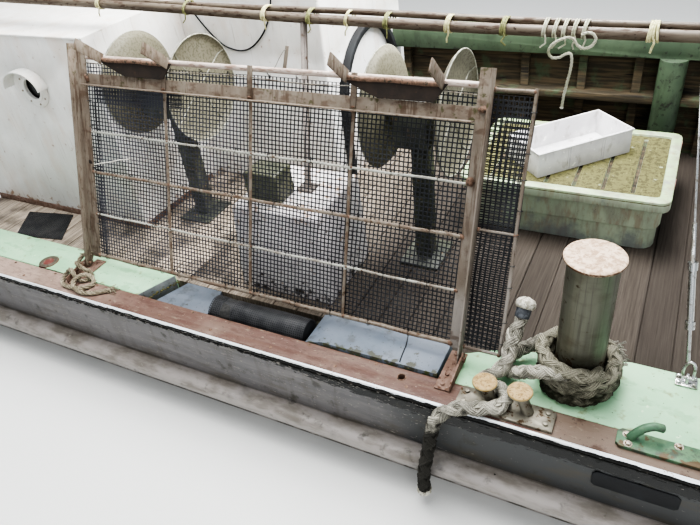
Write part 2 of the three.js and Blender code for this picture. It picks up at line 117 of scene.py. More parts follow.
def millimetres(tree, turned=False):
    # Object coordinates in millimetres from the gunwale's edge, or along the leaning screen
    coords = addNode(tree, "TexCoord").outputs["Object"]
    place = addNode(tree, "Mapping", {"Scale": (1000, 1000, 1000), "Location": rowOrigin}, {"Vector": coords})
    if not turned:
        return place.outputs[0]
    foot = (0, -screenFoot[0], -screenFoot[1])
    moved = addNode(tree, "Mapping", {"Location": foot}, {"Vector": place.outputs[0]})
    return addNode(tree, "Mapping", {"Rotation": (screenLean, 0, 0)}, {"Vector": moved.outputs[0]}).outputs[0]


def weathered(name, colour, layers, roughness=0.6, metallic=0.0, turned=False, grainMm=1.5, grainDepth=0.08):
    # A coat with layers of wear, and on some coats layers of painted light and shade. A layer is noise of a
    # size in millimetres that shows where it is above a level; bias entries (axis, zero at, full at,
    # strength) raise it towards a place.
    material, tree, shader = newMaterial(name, Metallic=metallic)
    place = millimetres(tree, turned)
    axes = addNode(tree, "SeparateXYZ", {}, {"Vector": place}).outputs
    tint, rough, height = None, None, None
    for number, layer in enumerate(layers):
        size = layer["size"] if isinstance(layer["size"], tuple) else (layer["size"],) * 3
        scaled = addNode(tree, "Mapping", {
            "Scale": tuple(1 / s for s in size), "Location": (number * 7.3 + 3.1, number * 3.7, number * 5.9),
        }, {"Vector": place})
        if layer.get("specks"):
            cells = addNode(tree, "TexVoronoi", {"Scale": 1.0}, {"Vector": scaled.outputs[0]})
            inside = addNode(tree, "Math", {"operation": "SUBTRACT", 0: 1.0}, {1: cells.outputs["Distance"]})
            value = inside.outputs[0]
        else:
            value = addNode(tree, "TexNoise", {
                "Scale": 1.0, "Detail": layer.get("detail", 4.0), "Roughness": layer.get("broken", 0.6),
            }, {"Vector": scaled.outputs[0]}).outputs["Fac"]
        for axis, zero, full, strength in layer.get("bias", ()):
            push = addNode(tree, "MapRange", {"From Min": zero, "From Max": full, "To Max": strength},
                           {"Value": axes["XYZ".index(axis)]})
            value = addNode(tree, "Math", {"operation": "ADD"}, {0: value, 1: push.outputs[0]}).outputs[0]
        soft = layer.get("soft", 0.05)
        mask = addNode(tree, "MapRange", {
            "interpolation_type": "SMOOTHSTEP", "From Min": layer["above"] - soft,
            "From Max": layer["above"] + soft, "To Max": layer.get("amount", 1.0),
        }, {"Value": value}).outputs[0]
        under, over = linear(colour), linear(layer["colour"])
        paint = addNode(tree, "Mix", {"data_type": "RGBA", 6: under, 7: over}, {0: mask})
        if tint:
            tree.links.new(tint, paint.inputs[6])
        tint = paint.outputs[2]
        if "rough" in layer:
            dull = addNode(tree, "Mix", {2: roughness, 3: layer["rough"]}, {0: mask})
            if rough:
                tree.links.new(rough, dull.inputs[2])
            rough = dull.outputs[0]
        if "depth" in layer:
            deep = {"operation": "MULTIPLY_ADD", 1: layer["depth"], 2: 0.0}
            dent = addNode(tree, "Math", deep, {0: mask})
            if height:
                tree.links.new(height, dent.inputs[2])
            height = dent.outputs[0]
    grainPlace = addNode(tree, "Mapping", {"Scale": (1 / grainMm,) * 3}, {"Vector": place})
    grain = addNode(tree, "TexNoise", {"Scale": 1.0, "Detail": 2.0}, {"Vector": grainPlace.outputs[0]})
    relief = addNode(tree, "Math", {"operation": "MULTIPLY_ADD", 1: grainDepth, 2: 0.0},
                     {0: grain.outputs["Fac"]})
    if height:
        tree.links.new(height, relief.inputs[2])
    bump = addNode(tree, "Bump", {"Distance": 0.001}, {"Height": relief.outputs[0]})
    tree.links.new(bump.outputs[0], shader.inputs["Normal"])
    if tint:
        tree.links.new(tint, shader.inputs["Base Color"])
    if rough:
        tree.links.new(rough, shader.inputs["Roughness"])
    else:
        shader.inputs["Roughness"].default_value = roughness
    return material


print("materials")
# Oxide primer on steel, brushed: red-brown, scuffed to grey along the edges, with pale scrapes, and painted
# paler towards its left end as painted light
capPrimer = weathered("oxidePrimer", "#553b32", [
    {"size": (260, 60, 60), "above": 0.5, "soft": 0.12, "colour": "#60493e", "amount": 0.7},
    {"size": (90, 22, 30), "above": 0.57, "soft": 0.05, "colour": "#482e26", "amount": 0.6},
    {"size": 300, "above": 0.62, "soft": 0.12, "colour": "#6c5d51", "bias": [("X", 2100, 2230, 0.5)]},
    {"size": (40, 12, 12), "above": 0.66, "soft": 0.03, "colour": "#7d7061", "rough": 0.8, "depth": -0.3},
    {"size": 70, "above": 0.68, "soft": 0.06, "colour": "#3f281a", "amount": 0.8,
     "bias": [("Y", 30, 4, 0.14), ("Y", 80, 106, 0.1)]},
    # Painted light: paler towards the left end, where the cap lies in the light
    {"size": 400, "above": 0.8, "soft": 0.2, "colour": "#a18d80", "bias": [("X", 500, -300, 0.5)]},
    {"size": (34, 9, 9), "above": 0.56, "soft": 0.07, "colour": "#685549", "amount": 0.5},
    {"size": 11, "above": 0.66, "soft": 0.04, "colour": "#36261e", "amount": 0.7},
    {"size": (26, 12, 12), "above": 0.72, "soft": 0.02, "colour": "#9f9386", "amount": 0.9},
    {"size": 6, "specks": True, "above": 0.9, "soft": 0.05, "colour": "#8d7a6f", "amount": 0.5},
    {"size": 5, "specks": True, "above": 0.93, "soft": 0.03, "colour": "#2f2620", "amount": 0.7},
    {"size": (30, 12, 8), "above": 0.8, "soft": 0.03, "colour": "#191917", "rough": 0.7,
     "bias": [("Y", 4.6, 3.5, 0.41)]},
    {"size": (16, 8, 5), "above": 1.02, "soft": 0.03, "colour": "#86847e", "rough": 0.8,
     "bias": [("Y", 4.6, 3.5, 0.41), ("X", 1500, 2000, -0.05)]},
], roughness=0.62)
# Drawn stainless steel, coloured near white and only half metallic as a painted highlight along its top, with
# its lower part painted dark: black paint flaking off, and painted shade under the bright top
edgeStainless = weathered("drawnStainless", "#eceff1", [
    {"size": (400, 10, 10), "above": 0.56, "soft": 0.1, "colour": "#c9c9c6", "rough": 0.45},
    {"size": 25, "above": 0.68, "soft": 0.04, "colour": "#7d6453", "rough": 0.6},
    # Black paint flaking off the lower part, which also stands as painted shade under the bright top edge
    {"size": (40, 12, 5), "above": 0.8, "soft": 0.04, "colour": "#1c1c1a", "rough": 0.7,
     "bias": [("Z", 0, -5, 0.5)]},
    {"size": (22, 10, 6), "above": 1.0, "soft": 0.04, "colour": "#8d8a84", "rough": 0.7,
     "bias": [("Z", -2, -7, 0.42), ("X", 900, 1500, -0.12)]},
], roughness=0.3, metallic=0.45, grainDepth=0.02)
# Alkyd topside enamel: grey and chalky, its grey darkened as painted shade and charcoal to the right as
# painted shade, with a glossy black band under the edge
topsideEnamel = weathered("topsideEnamel", "#5e5c5c", [
    {"size": (600, 80, 50), "above": 0.5, "soft": 0.2, "colour": "#6f6c6b", "amount": 0.7},
    {"size": (30, 30, 300), "above": 0.6, "soft": 0.12, "colour": "#4c4740", "amount": 0.35},
    {"size": (300, 60, 26), "above": 0.6, "soft": 0.12, "colour": "#7d7977", "amount": 0.5},
    # Painted shade: charcoal towards the right, where the hull side lies in shadow
    {"size": 500, "above": 1.0, "soft": 0.2, "colour": "#3f4040", "bias": [("X", 1200, 1800, 0.9)]},
    {"size": 200, "above": 0.92, "soft": 0.1, "colour": "#928c87", "bias": [("Z", -241, -245, 0.6)]},
    {"size": (140, 60, 34), "above": 0.66, "soft": 0.16, "colour": "#4c4434", "amount": 0.6,
     "bias": [("Z", -200, -250, 0.14), ("Z", -256, -285, -0.12)]},
    {"size": (46, 30, 9), "above": 0.56, "soft": 0.03, "colour": "#0e0f0f", "rough": 0.26,
     "bias": [("X", 900, 1700, 0.8), ("Z", -34, -106.5, -1.0)]},
    {"size": (30, 20, 8), "above": 0.68, "soft": 0.03, "colour": "#191915", "depth": -0.3, "rough": 0.8,
     "bias": [("Z", -54, -32, 0.27), ("Z", -60, -90, -0.1)]},
    {"size": (22, 16, 5), "above": 0.66, "soft": 0.03, "colour": "#8e8981", "rough": 0.8,
     "bias": [("Z", -52, -34, 0.08), ("X", 1700, 2100, -0.06)]},
    {"size": 60, "above": 0.66, "soft": 0.08, "colour": "#333128", "amount": 0.7,
     "bias": [("Z", -320, -440, 0.24)]},
], roughness=0.5)
# Mint deck enamel rolled on: pale, scuffed to white, with grit and dark specks
deckEnamel = weathered("deckEnamel", "#8eb993", [
    {"size": 240, "above": 0.5, "soft": 0.14, "colour": "#a0c4a0", "amount": 0.8},
    {"size": (90, 50, 50), "above": 0.6, "soft": 0.05, "colour": "#7ba47f", "amount": 0.6},
    {"size": 45, "above": 0.68, "soft": 0.03, "colour": "#b5cead", "rough": 0.8},
    {"size": 60, "above": 0.66, "soft": 0.06, "colour": "#797853", "amount": 0.8,
     "bias": [("Y", 122, 107, 0.12)]},
    {"size": 26, "specks": True, "above": 0.93, "soft": 0.015, "colour": "#434330"},
], roughness=0.55, grainMm=2.5, grainDepth=0.15)
# Grey enamel on covers: pale blue-grey, dirt in patches, moss at its outer edge
coverEnamel = weathered("coverEnamel", "#58616c", [
    {"size": 180, "above": 0.5, "soft": 0.14, "colour": "#676e77", "amount": 0.8},
    {"size": 70, "above": 0.6, "soft": 0.06, "colour": "#4b4e4f", "amount": 0.7},
    {"size": 30, "above": 0.66, "soft": 0.05, "colour": "#414237", "bias": [("Y", 150, 112, 0.16)]},
    {"size": 22, "above": 0.8, "soft": 0.05, "colour": "#424c26", "bias": [("Y", 113.5, 111, 0.34)]},
    {"size": 20, "specks": True, "above": 0.92, "soft": 0.02, "colour": "#2c2b27"},
], roughness=0.6)
# Wet painted board in the recess, grown over with moss
mossyBoard = weathered("mossyBoard", "#3a3a2c", [
    {"size": 60, "above": 0.5, "soft": 0.1, "colour": "#55603a"},
    {"size": 25, "above": 0.58, "soft": 0.06, "colour": "#6f6a55"},
    {"size": 90, "above": 0.62, "soft": 0.06, "colour": "#8b8474", "amount": 0.7},
], roughness=0.85, grainMm=4, grainDepth=1.2)
# Gelcoat on the casing: white, rain-streaked, with rust creeping up from its foot, and painted near white
# right of the casing's end as painted light
gelcoat = weathered("gelcoat", "#d6d5d1", [
    {"size": (90, 90, 500), "above": 0.5, "soft": 0.16, "colour": "#c8c5be", "amount": 0.6},
    {"size": 260, "above": 0.55, "soft": 0.14, "colour": "#e4e2dd", "amount": 0.7},
    # Painted light: near white on the casing's side face and the wall behind it (X above -22), below about
    # 620 mm, so they read brighter in their shade
    {"size": 500, "above": 0.95, "soft": 0.14, "colour": "#fbfbfa", "amount": 0.9,
     "bias": [("X", -34, -22, 0.6), ("Z", 620, 800, -0.6)]},
    {"size": (120, 120, 260), "above": 0.6, "soft": 0.12, "colour": "#c9b29c", "amount": 0.35},
    {"size": (10, 10, 200), "above": 0.66, "soft": 0.05, "colour": "#9c9080", "amount": 0.4},
    {"size": 34, "above": 0.7, "soft": 0.06, "colour": "#8d6a4c", "amount": 0.8,
     "bias": [("Z", 40, -50, 0.22)]},
    {"size": (70, 70, 12), "above": 0.8, "soft": 0.06, "colour": "#8f8267", "amount": 0.7,
     "bias": [("Z", 915, 940, 0.16), ("Z", 941, 944, -0.18)]},
    {"size": 12, "specks": True, "above": 0.95, "soft": 0.015, "colour": "#7d7466", "amount": 0.7},
], roughness=0.45)
# Stoved enamel on the machine's case: white-grey, chipped to rust at its edges
machineEnamel = weathered("machineEnamel", "#ddd9d7", [
    {"size": 160, "above": 0.52, "soft": 0.16, "colour": "#c5bfc0"},
    {"size": 40, "above": 0.66, "soft": 0.06, "colour": "#a58564", "amount": 0.8,
     "bias": [("Z", 300, 372, 0.06)]},
    {"size": 40, "above": 0.66, "soft": 0.05, "colour": "#423b32", "bias": [("Z", 60, -50, 0.16)]},
    {"size": (12, 12, 90), "above": 0.7, "soft": 0.05, "colour": "#9a7553", "amount": 0.6},
], roughness=0.6)
# Angle iron, primed and left outside: tan-brown with grey zinc showing through and rust at the joints
angleIron = weathered("rustedAngle", "#6a5f53", [
    {"size": (70, 30, 120), "above": 0.5, "soft": 0.12, "colour": "#786f63", "amount": 0.9},
    {"size": (16, 16, 150), "above": 0.58, "soft": 0.06, "colour": "#514235", "rough": 0.9, "amount": 0.8},
    {"size": 400, "above": 0.78, "soft": 0.14, "colour": "#958f88", "amount": 0.8,
     "bias": [("X", 1700, 1772, 0.24), ("Z", 600, 100, 0.12)]},
    {"size": (60, 12, 30), "above": 0.63, "soft": 0.09, "colour": "#493526", "rough": 0.9, "depth": 0.3,
     "amount": 0.6, "bias": [("Z", 60, 0, 0.12), ("Z", 690, 712, 0.06)]},
    {"size": 24, "above": 0.74, "soft": 0.06, "colour": "#434024", "bias": [("Z", 740, 773, 0.1)]},
    {"size": 6, "specks": True, "above": 0.9, "soft": 0.03, "colour": "#34291f", "amount": 0.7},
    {"size": 9, "specks": True, "above": 0.93, "soft": 0.02, "colour": "#958e83", "amount": 0.7},
], roughness=0.75, turned=True, grainMm=2, grainDepth=0.3)
# Galvanised round bar: whitish zinc that has gone to rust at the welds
zincRod = weathered("galvanisedBar", "#756c60", [
    {"size": (40, 20, 40), "above": 0.5, "soft": 0.1, "colour": "#615143"},
    {"size": 160, "above": 0.98, "soft": 0.12, "colour": "#9d9d94",
     "bias": [("Z", 185, 195, 0.56), ("Z", 205, 215, -0.56), ("Z", 560, 570, 0.56), ("Z", 580, 590, -0.56)]},
    {"size": (24, 16, 24), "above": 0.62, "soft": 0.05, "colour": "#4a3828", "rough": 0.9},
    {"size": 12, "above": 0.7, "soft": 0.04, "colour": "#989489"},
], roughness=0.7, turned=True, grainMm=2, grainDepth=0.4)
# Brown oil paint on the awning rail, rubbed through to rust
railPaint = weathered("railPaint", "#53473b", [
    {"size": (160, 20, 20), "above": 0.5, "soft": 0.1, "colour": "#63594c"},
    {"size": (50, 14, 14), "above": 0.58, "soft": 0.06, "colour": "#3e2b1e", "rough": 0.85, "amount": 0.8},
    {"size": (90, 12, 12), "above": 0.66, "soft": 0.05, "colour": "#756b5d", "amount": 0.8},
    {"size": (20, 10, 10), "above": 0.68, "soft": 0.04, "colour": "#28180e", "rough": 0.9},
], roughness=0.55)
# Thin white paint on the screen's top pipe, worn to pink-brown with rust at its joints
pipePaint = weathered("pipePaint", "#9c8c82", [
    {"size": (120, 16, 16), "above": 0.5, "soft": 0.1, "colour": "#b9ada3"},
    {"size": (60, 12, 12), "above": 0.57, "soft": 0.06, "colour": "#7a6152", "amount": 0.8},
    {"size": (26, 10, 10), "above": 0.66, "soft": 0.04, "colour": "#4a3122", "rough": 0.9},
], roughness=0.5)
# Pipe of the bollard: stainless dulled by weather, with pale and dark vertical streaks painted as
# reflections, and brown tide marks at its foot
bollardSteel = weathered("weatheredStainless", "#535348", [
    # Painted reflections: pale and dark vertical streaks like those a polished pipe shows
    {"size": (34, 34, 600), "above": 0.5, "soft": 0.14, "colour": "#626256", "rough": 0.4},
    {"size": (12, 12, 420), "above": 0.6, "soft": 0.08, "colour": "#3b3930", "rough": 0.5, "amount": 0.55},
    {"size": (80, 80, 40), "above": 0.6, "soft": 0.14, "colour": "#403b2d", "amount": 0.5},
    {"size": 5, "specks": True, "above": 0.95, "soft": 0.02, "colour": "#7d7d6c", "amount": 0.8},
    {"size": 24, "above": 0.7, "soft": 0.08, "colour": "#403422", "rough": 0.9,
     "bias": [("Z", 190, 130, 0.26)]},
], roughness=0.42, metallic=0.45, grainDepth=0.03)
# The cap's top: tan scale and pale grit, dark along its rim
bollardCap = weathered("scaledCap", "#b39e88", [
    {"size": 30, "above": 0.5, "soft": 0.1, "colour": "#c5b19c"},
    {"size": 12, "above": 0.53, "soft": 0.05, "colour": "#91785f", "amount": 0.8},
    {"size": 4, "specks": True, "above": 0.88, "soft": 0.04, "colour": "#dcc9b5"},
    {"size": 20, "above": 0.9, "soft": 0.14, "colour": "#563f2e", "bias": [("Z", 521.6, 519.5, 0.5)]},
], roughness=0.75, metallic=0.1, grainMm=3, grainDepth=0.4)
# Fairlead: stainless plate stained brown, horns greyer, with tan scale on their caps
fairleadSteel = weathered("stainedSteel", "#706c61", [
    {"size": 60, "above": 0.5, "soft": 0.1, "colour": "#827e71", "rough": 0.5},
    {"size": 22, "above": 0.6, "soft": 0.05, "colour": "#55422f", "rough": 0.85},
    {"size": 40, "above": 0.9, "soft": 0.05, "colour": "#9c885d", "rough": 0.85,
     "bias": [("Z", 86, 90, 0.7)]},
], roughness=0.45, metallic=0.55, grainMm=2, grainDepth=0.15)
# Cast bronze gone green: verdigris with brown metal rubbed bare on top
verdigris = weathered("castBronze", "#4f6f56", [
    {"size": 50, "above": 0.5, "soft": 0.1, "colour": "#617d60"},
    {"size": 35, "above": 0.56, "soft": 0.06, "colour": "#4c584b", "rough": 0.55},
    {"size": 40, "above": 0.62, "soft": 0.05, "colour": "#584a35", "bias": [("Y", 60, 36, 0.1)]},
], roughness=0.6, metallic=0.3, grainMm=2, grainDepth=0.2)
# Forged stainless fittings: smooth and bright
forgedStainless = weathered("forgedStainless", "#c7c8c6", [
    {"size": 20, "above": 0.58, "soft": 0.06, "colour": "#8f8c84", "rough": 0.4},
], roughness=0.25, metallic=1.0, grainDepth=0.02)
# Sheet-metal reel: cream enamel with lichen specks
reelEnamel = weathered("reelEnamel", "#7a7665", [
    {"size": 140, "above": 0.5, "soft": 0.14, "colour": "#6d6957", "amount": 0.8},
    {"size": 11, "above": 0.54, "soft": 0.06, "colour": "#565442", "amount": 0.75},
    {"size": 5, "specks": True, "above": 0.88, "soft": 0.04, "colour": "#8d8978", "amount": 0.8},
    {"size": 36, "above": 0.72, "soft": 0.06, "colour": "#4a482e", "amount": 0.6},
], roughness=0.6, grainMm=3, grainDepth=0.2)
# Machine paint and grease on the stands
greasyPaint = weathered("greasyPaint", "#33352f", [
    {"size": 90, "above": 0.52, "soft": 0.1, "colour": "#4a4d40"},
    {"size": 30, "above": 0.64, "soft": 0.05, "colour": "#6d5b44"},
], roughness=0.5)
# Softwood frames under the deck: sawn, dark with damp
sawnTimber = weathered("sawnTimber", "#6f6250", [
    {"size": (300, 8, 8), "above": 0.5, "soft": 0.12, "colour": "#57493a"},
    {"size": (700, 40, 40), "above": 0.56, "soft": 0.1, "colour": "#857763"},
], roughness=0.85, grainMm=3, grainDepth=0.5)
# Moulded rubber: black, with chalky bloom
mouldedRubber = weathered("mouldedRubber", "#17181a", [
    {"size": 80, "above": 0.55, "soft": 0.1, "colour": "#27292b", "rough": 0.85},
], roughness=0.7)
# Polyethylene net: extruded black strands, slightly shiny
extrudedNet = weathered("extrudedPolyethylene", "#15161b", [
    {"size": 500, "above": 0.76, "soft": 0.2, "colour": "#373840", "bias": [("X", 1500, 400, 0.42)]},
    {"size": 160, "above": 0.56, "soft": 0.1, "colour": "#292a2d", "rough": 0.7},
    {"size": 30, "above": 0.72, "soft": 0.04, "colour": "#474642", "rough": 0.8},
], roughness=0.42, turned=True)
# Nylon ties and black cord: smooth, slightly shiny
blackPlastic = weathered("nylonTie", "#101113", [
    {"size": 20, "above": 0.6, "soft": 0.1, "colour": "#26272a"},
], roughness=0.4)
# Weld beads left as welded: brown oxide scale
weldScale = weathered("weldScale", "#5f4a3c", [
    {"size": 9, "above": 0.5, "soft": 0.08, "colour": "#7b6252"},
    {"size": 14, "above": 0.6, "soft": 0.06, "colour": "#38352a"},
], roughness=0.85, grainMm=2, grainDepth=0.6)
# Red deck paint on the flush plug, worn to grey
discRed = weathered("redDeckPaint", "#69352e", [
    {"size": 30, "above": 0.55, "soft": 0.06, "colour": "#7f554e"},
    {"size": 16, "above": 0.64, "soft": 0.04, "colour": "#49463f"},
], roughness=0.5)
# Brass ring of the plug, tarnished brown-grey
tarnishedRing = weathered("tarnishedRing", "#655e52", [
    {"size": 18, "above": 0.55, "soft": 0.06, "colour": "#7a7467"},
], roughness=0.5, metallic=0.7)
# Far bulwark: mint enamel darkened as painted shade, its cap's top paler as painted light and more painted
# shade lower down, and dark timber frames that the weather has got into
bulwarkEnamelShaded = weathered("bulwarkEnamelShaded", "#394936", [
    {"size": 200, "above": 0.5, "soft": 0.16, "colour": "#465540", "amount": 0.8},
    # Painted light: the cap's top paler than its shaded sides
    {"size": 300, "above": 0.9, "soft": 0.12, "colour": "#8ba083", "bias": [("Z", 576, 586, 0.5)]},
    {"size": (40, 40, 90), "above": 0.58, "soft": 0.12, "colour": "#2b3425", "amount": 0.6},
    # Painted shade: darker blotches lower down, below the cap
    {"size": 30, "above": 0.7, "soft": 0.06, "colour": "#1c1a14", "amount": 0.8,
     "bias": [("Z", 540, 480, 0.1)]},
], roughness=0.6, grainMm=3)
bulwarkTimber = weathered("bulwarkTimber", "#383226", [
    {"size": (260, 30, 12), "above": 0.52, "soft": 0.1, "colour": "#574b38"},
    {"size": 90, "above": 0.6, "soft": 0.08, "colour": "#485740", "amount": 0.8},
    {"size": (400, 40, 40), "above": 0.62, "soft": 0.05, "colour": "#1a1813"},
], roughness=0.85, grainMm=4, grainDepth=0.8)
# Moulded polyethylene: mint, stained tan where fish slime and rust have dried on it
boxPlastic = weathered("boxPolyethylene", "#a1ae97", [
    {"size": 260, "above": 0.5, "soft": 0.16, "colour": "#b6c1a8", "amount": 0.8},
    {"size": 60, "above": 0.9, "soft": 0.2, "colour": "#9db288", "bias": [("Z", 190, 205, 0.5)]},
    {"size": (50, 50, 200), "above": 0.54, "soft": 0.14, "colour": "#8a877b", "amount": 0.7},
    {"size": (30, 30, 120), "above": 0.62, "soft": 0.1, "colour": "#8d6e5b", "amount": 0.45,
     "bias": [("Z", 196, 150, 0.05)]},
    {"size": 120, "above": 0.68, "soft": 0.12, "colour": "#73777b", "amount": 0.7,
     "bias": [("Z", 80, -40, 0.2)]},
    {"size": 34, "above": 0.9, "soft": 0.06, "colour": "#5c5a35", "rough": 0.8,
     "bias": [("Z", 192, 195, 0.6), ("Z", 197, 199, -0.6)]},
    {"size": 15, "above": 1.14, "soft": 0.06, "colour": "#423f23", "rough": 0.85,
     "bias": [("Z", 192, 195, 0.6), ("Z", 197, 199, -0.6)]},
    {"size": (8, 60, 20), "above": 1.26, "soft": 0.08, "colour": "#76764c",
     "bias": [("Z", 192, 195, 0.6), ("Z", 197, 199, -0.6)], "amount": 0.8},
    {"size": 14, "specks": True, "above": 0.93, "soft": 0.02, "colour": "#463c32"},
], roughness=0.5, grainMm=4)
# Moulded polyethylene tray: white, scuffed grey
trayPlastic = weathered("trayPolyethylene", "#d3d2d2", [
    {"size": 160, "above": 0.5, "soft": 0.12, "colour": "#bdbbbd", "amount": 0.8},
    {"size": (50, 50, 90), "above": 0.6, "soft": 0.06, "colour": "#9f9b96", "amount": 0.6},
    {"size": 30, "above": 0.68, "soft": 0.05, "colour": "#e9e9e5"},
], roughness=0.5, grainMm=4)
# Hammered machine enamel, olive and greasy
oliveEnamel = weathered("oliveEnamel", "#474a3a", [
    {"size": 60, "above": 0.5, "soft": 0.1, "colour": "#5c5d49"},
    {"size": 24, "above": 0.62, "soft": 0.05, "colour": "#2c2c25"},
], roughness=0.5)
# Grey-brown oil paint on the middle pole, chipped to rust
polePaint = weathered("polePaint", "#625a54", [
    {"size": (20, 20, 200), "above": 0.52, "soft": 0.1, "colour": "#716a64"},
    {"size": 30, "above": 0.64, "soft": 0.04, "colour": "#46362a", "rough": 0.9},
], roughness=0.6)
# Grey alkyd enamel on the cut end of the side deck, mossy in patches
greyEnamel = weathered("greyEnamel", "#74797a", [
    {"size": 60, "above": 0.52, "soft": 0.1, "colour": "#838787"},
    {"size": 24, "above": 0.62, "soft": 0.06, "colour": "#56553f", "rough": 0.9, "amount": 0.8},
], roughness=0.6)
# Mild steel plate left bare: red-brown rust, pitted, with grey mill scale
rustedPlate = weathered("rustedPlate", "#685245", [
    {"size": 40, "above": 0.5, "soft": 0.1, "colour": "#7a6458"},
    {"size": 18, "above": 0.58, "soft": 0.06, "colour": "#4e362a", "rough": 0.95, "depth": 0.4},
    {"size": 26, "above": 0.68, "soft": 0.06, "colour": "#8d8378"},
], roughness=0.8, grainMm=2, grainDepth=0.4)
# Galvanised wire: dull grey with brown lengths
zincWire = weathered("zincWire", "#878278", [
    {"size": (30, 8, 8), "above": 0.54, "soft": 0.06, "colour": "#62594e"},
], roughness=0.6, turned=True)
# Cloth tape: dark grey, matt, rubbed paler on its folds
clothTape = weathered("clothTape", "#3d4045", [
    {"size": 14, "above": 0.52, "soft": 0.08, "colour": "#595c60"},
], roughness=0.7, grainMm=2, grainDepth=0.4)
# Braided polyester string: white, gone grey
whiteString = weathered("whiteString", "#d6d2c8", [
    {"size": 12, "above": 0.55, "soft": 0.06, "colour": "#b3ada0"},
], roughness=0.9, turned=True)
# Sheet steel of the forks, gone dark brown
forkSteel = weathered("rustedSheet", "#251d17", [
    {"size": 60, "above": 0.52, "soft": 0.12, "colour": "#2f251d"},
    {"size": 18, "above": 0.64, "soft": 0.06, "colour": "#443429", "rough": 0.9, "amount": 0.8},
    {"size": 30, "above": 0.66, "soft": 0.06, "colour": "#16110e"},
], roughness=0.8, turned=True, grainMm=2, grainDepth=0.4)
# Dried rust scale on the horns' caps: tan and grainy
tanScale = weathered("tanScale", "#a38d66", [
    {"size": 16, "above": 0.52, "soft": 0.08, "colour": "#8f7750"},
    {"size": 7, "above": 0.6, "soft": 0.05, "colour": "#6b5535"},
    {"size": 5, "specks": True, "above": 0.9, "soft": 0.03, "colour": "#c0ae8c"},
], roughness=0.85, grainMm=2, grainDepth=0.3)
# Turned stainless screw heads: dull grey with brown stains
screwSteel = weathered("screwSteel", "#a39c90", [
    {"size": 8, "above": 0.55, "soft": 0.06, "colour": "#6f5d4a"},
], roughness=0.5, metallic=0.6)
# Knotted nylon mesh, rolled up, with a strip of grey cloth round it, and pale specks painted on as highlights
rollNet = weathered("nylonMesh", "#292a2c", [
    {"size": 60, "above": 0.52, "soft": 0.1, "colour": "#3b3b3c"},
    # Painted highlights: pale specks on the black strands
    {"size": 8, "specks": True, "above": 0.955, "soft": 0.02, "colour": "#a5a298"},
], roughness=0.5)
# Woven polyester strap: dark grey
rollBandCloth = weathered("rollBandCloth", "#393836", [
    {"size": 16, "above": 0.52, "soft": 0.08, "colour": "#272725"},
], roughness=0.8, grainMm=2, grainDepth=0.4)
# Toughened glass over a dark inside: near black and glossy, salt dried on it
portGlass = weathered("portGlass", "#0c0d0e", [
    {"size": 40, "above": 0.66, "soft": 0.08, "colour": "#2b2c2a", "rough": 0.6},
], roughness=0.18)
# Rolled wire and spokes of the reels, rubbed to grey
reelEdge = weathered("reelEdge", "#9c9c8f", [
    {"size": 24, "above": 0.52, "soft": 0.08, "colour": "#7b7a6c"},
    {"size": 12, "above": 0.64, "soft": 0.04, "colour": "#cfcdbd"},
], roughness=0.6)
# Laid polypropylene cord: straw yellow, bleached
yellowCord = weathered("polypropyleneCord", "#a6a274", [
    {"size": 10, "above": 0.5, "soft": 0.08, "colour": "#c9c49b"},
], roughness=0.8, grainMm=1.5, grainDepth=0.5)
# The same cord grown over with algae
mossyCord = weathered("mossyCord", "#8a8a5f", [
    {"size": 10, "above": 0.5, "soft": 0.08, "colour": "#6a6c45"},
], roughness=0.85, grainMm=1.5, grainDepth=0.5)
# Moulded nylon latches: faded red
latchPlastic = weathered("latchPlastic", "#b98a86", [
    {"size": 14, "above": 0.55, "soft": 0.08, "colour": "#8e6a62"},
], roughness=0.5)
# Moss and black silt in the seams: matt and crumbly
mossGreen = weathered("moss", "#4a4a2c", [
    {"size": 8, "above": 0.5, "soft": 0.1, "colour": "#5f5c38"},
    {"size": 12, "above": 0.6, "soft": 0.06, "colour": "#352c1e"},
], roughness=0.95, grainMm=1.5, grainDepth=1.2)


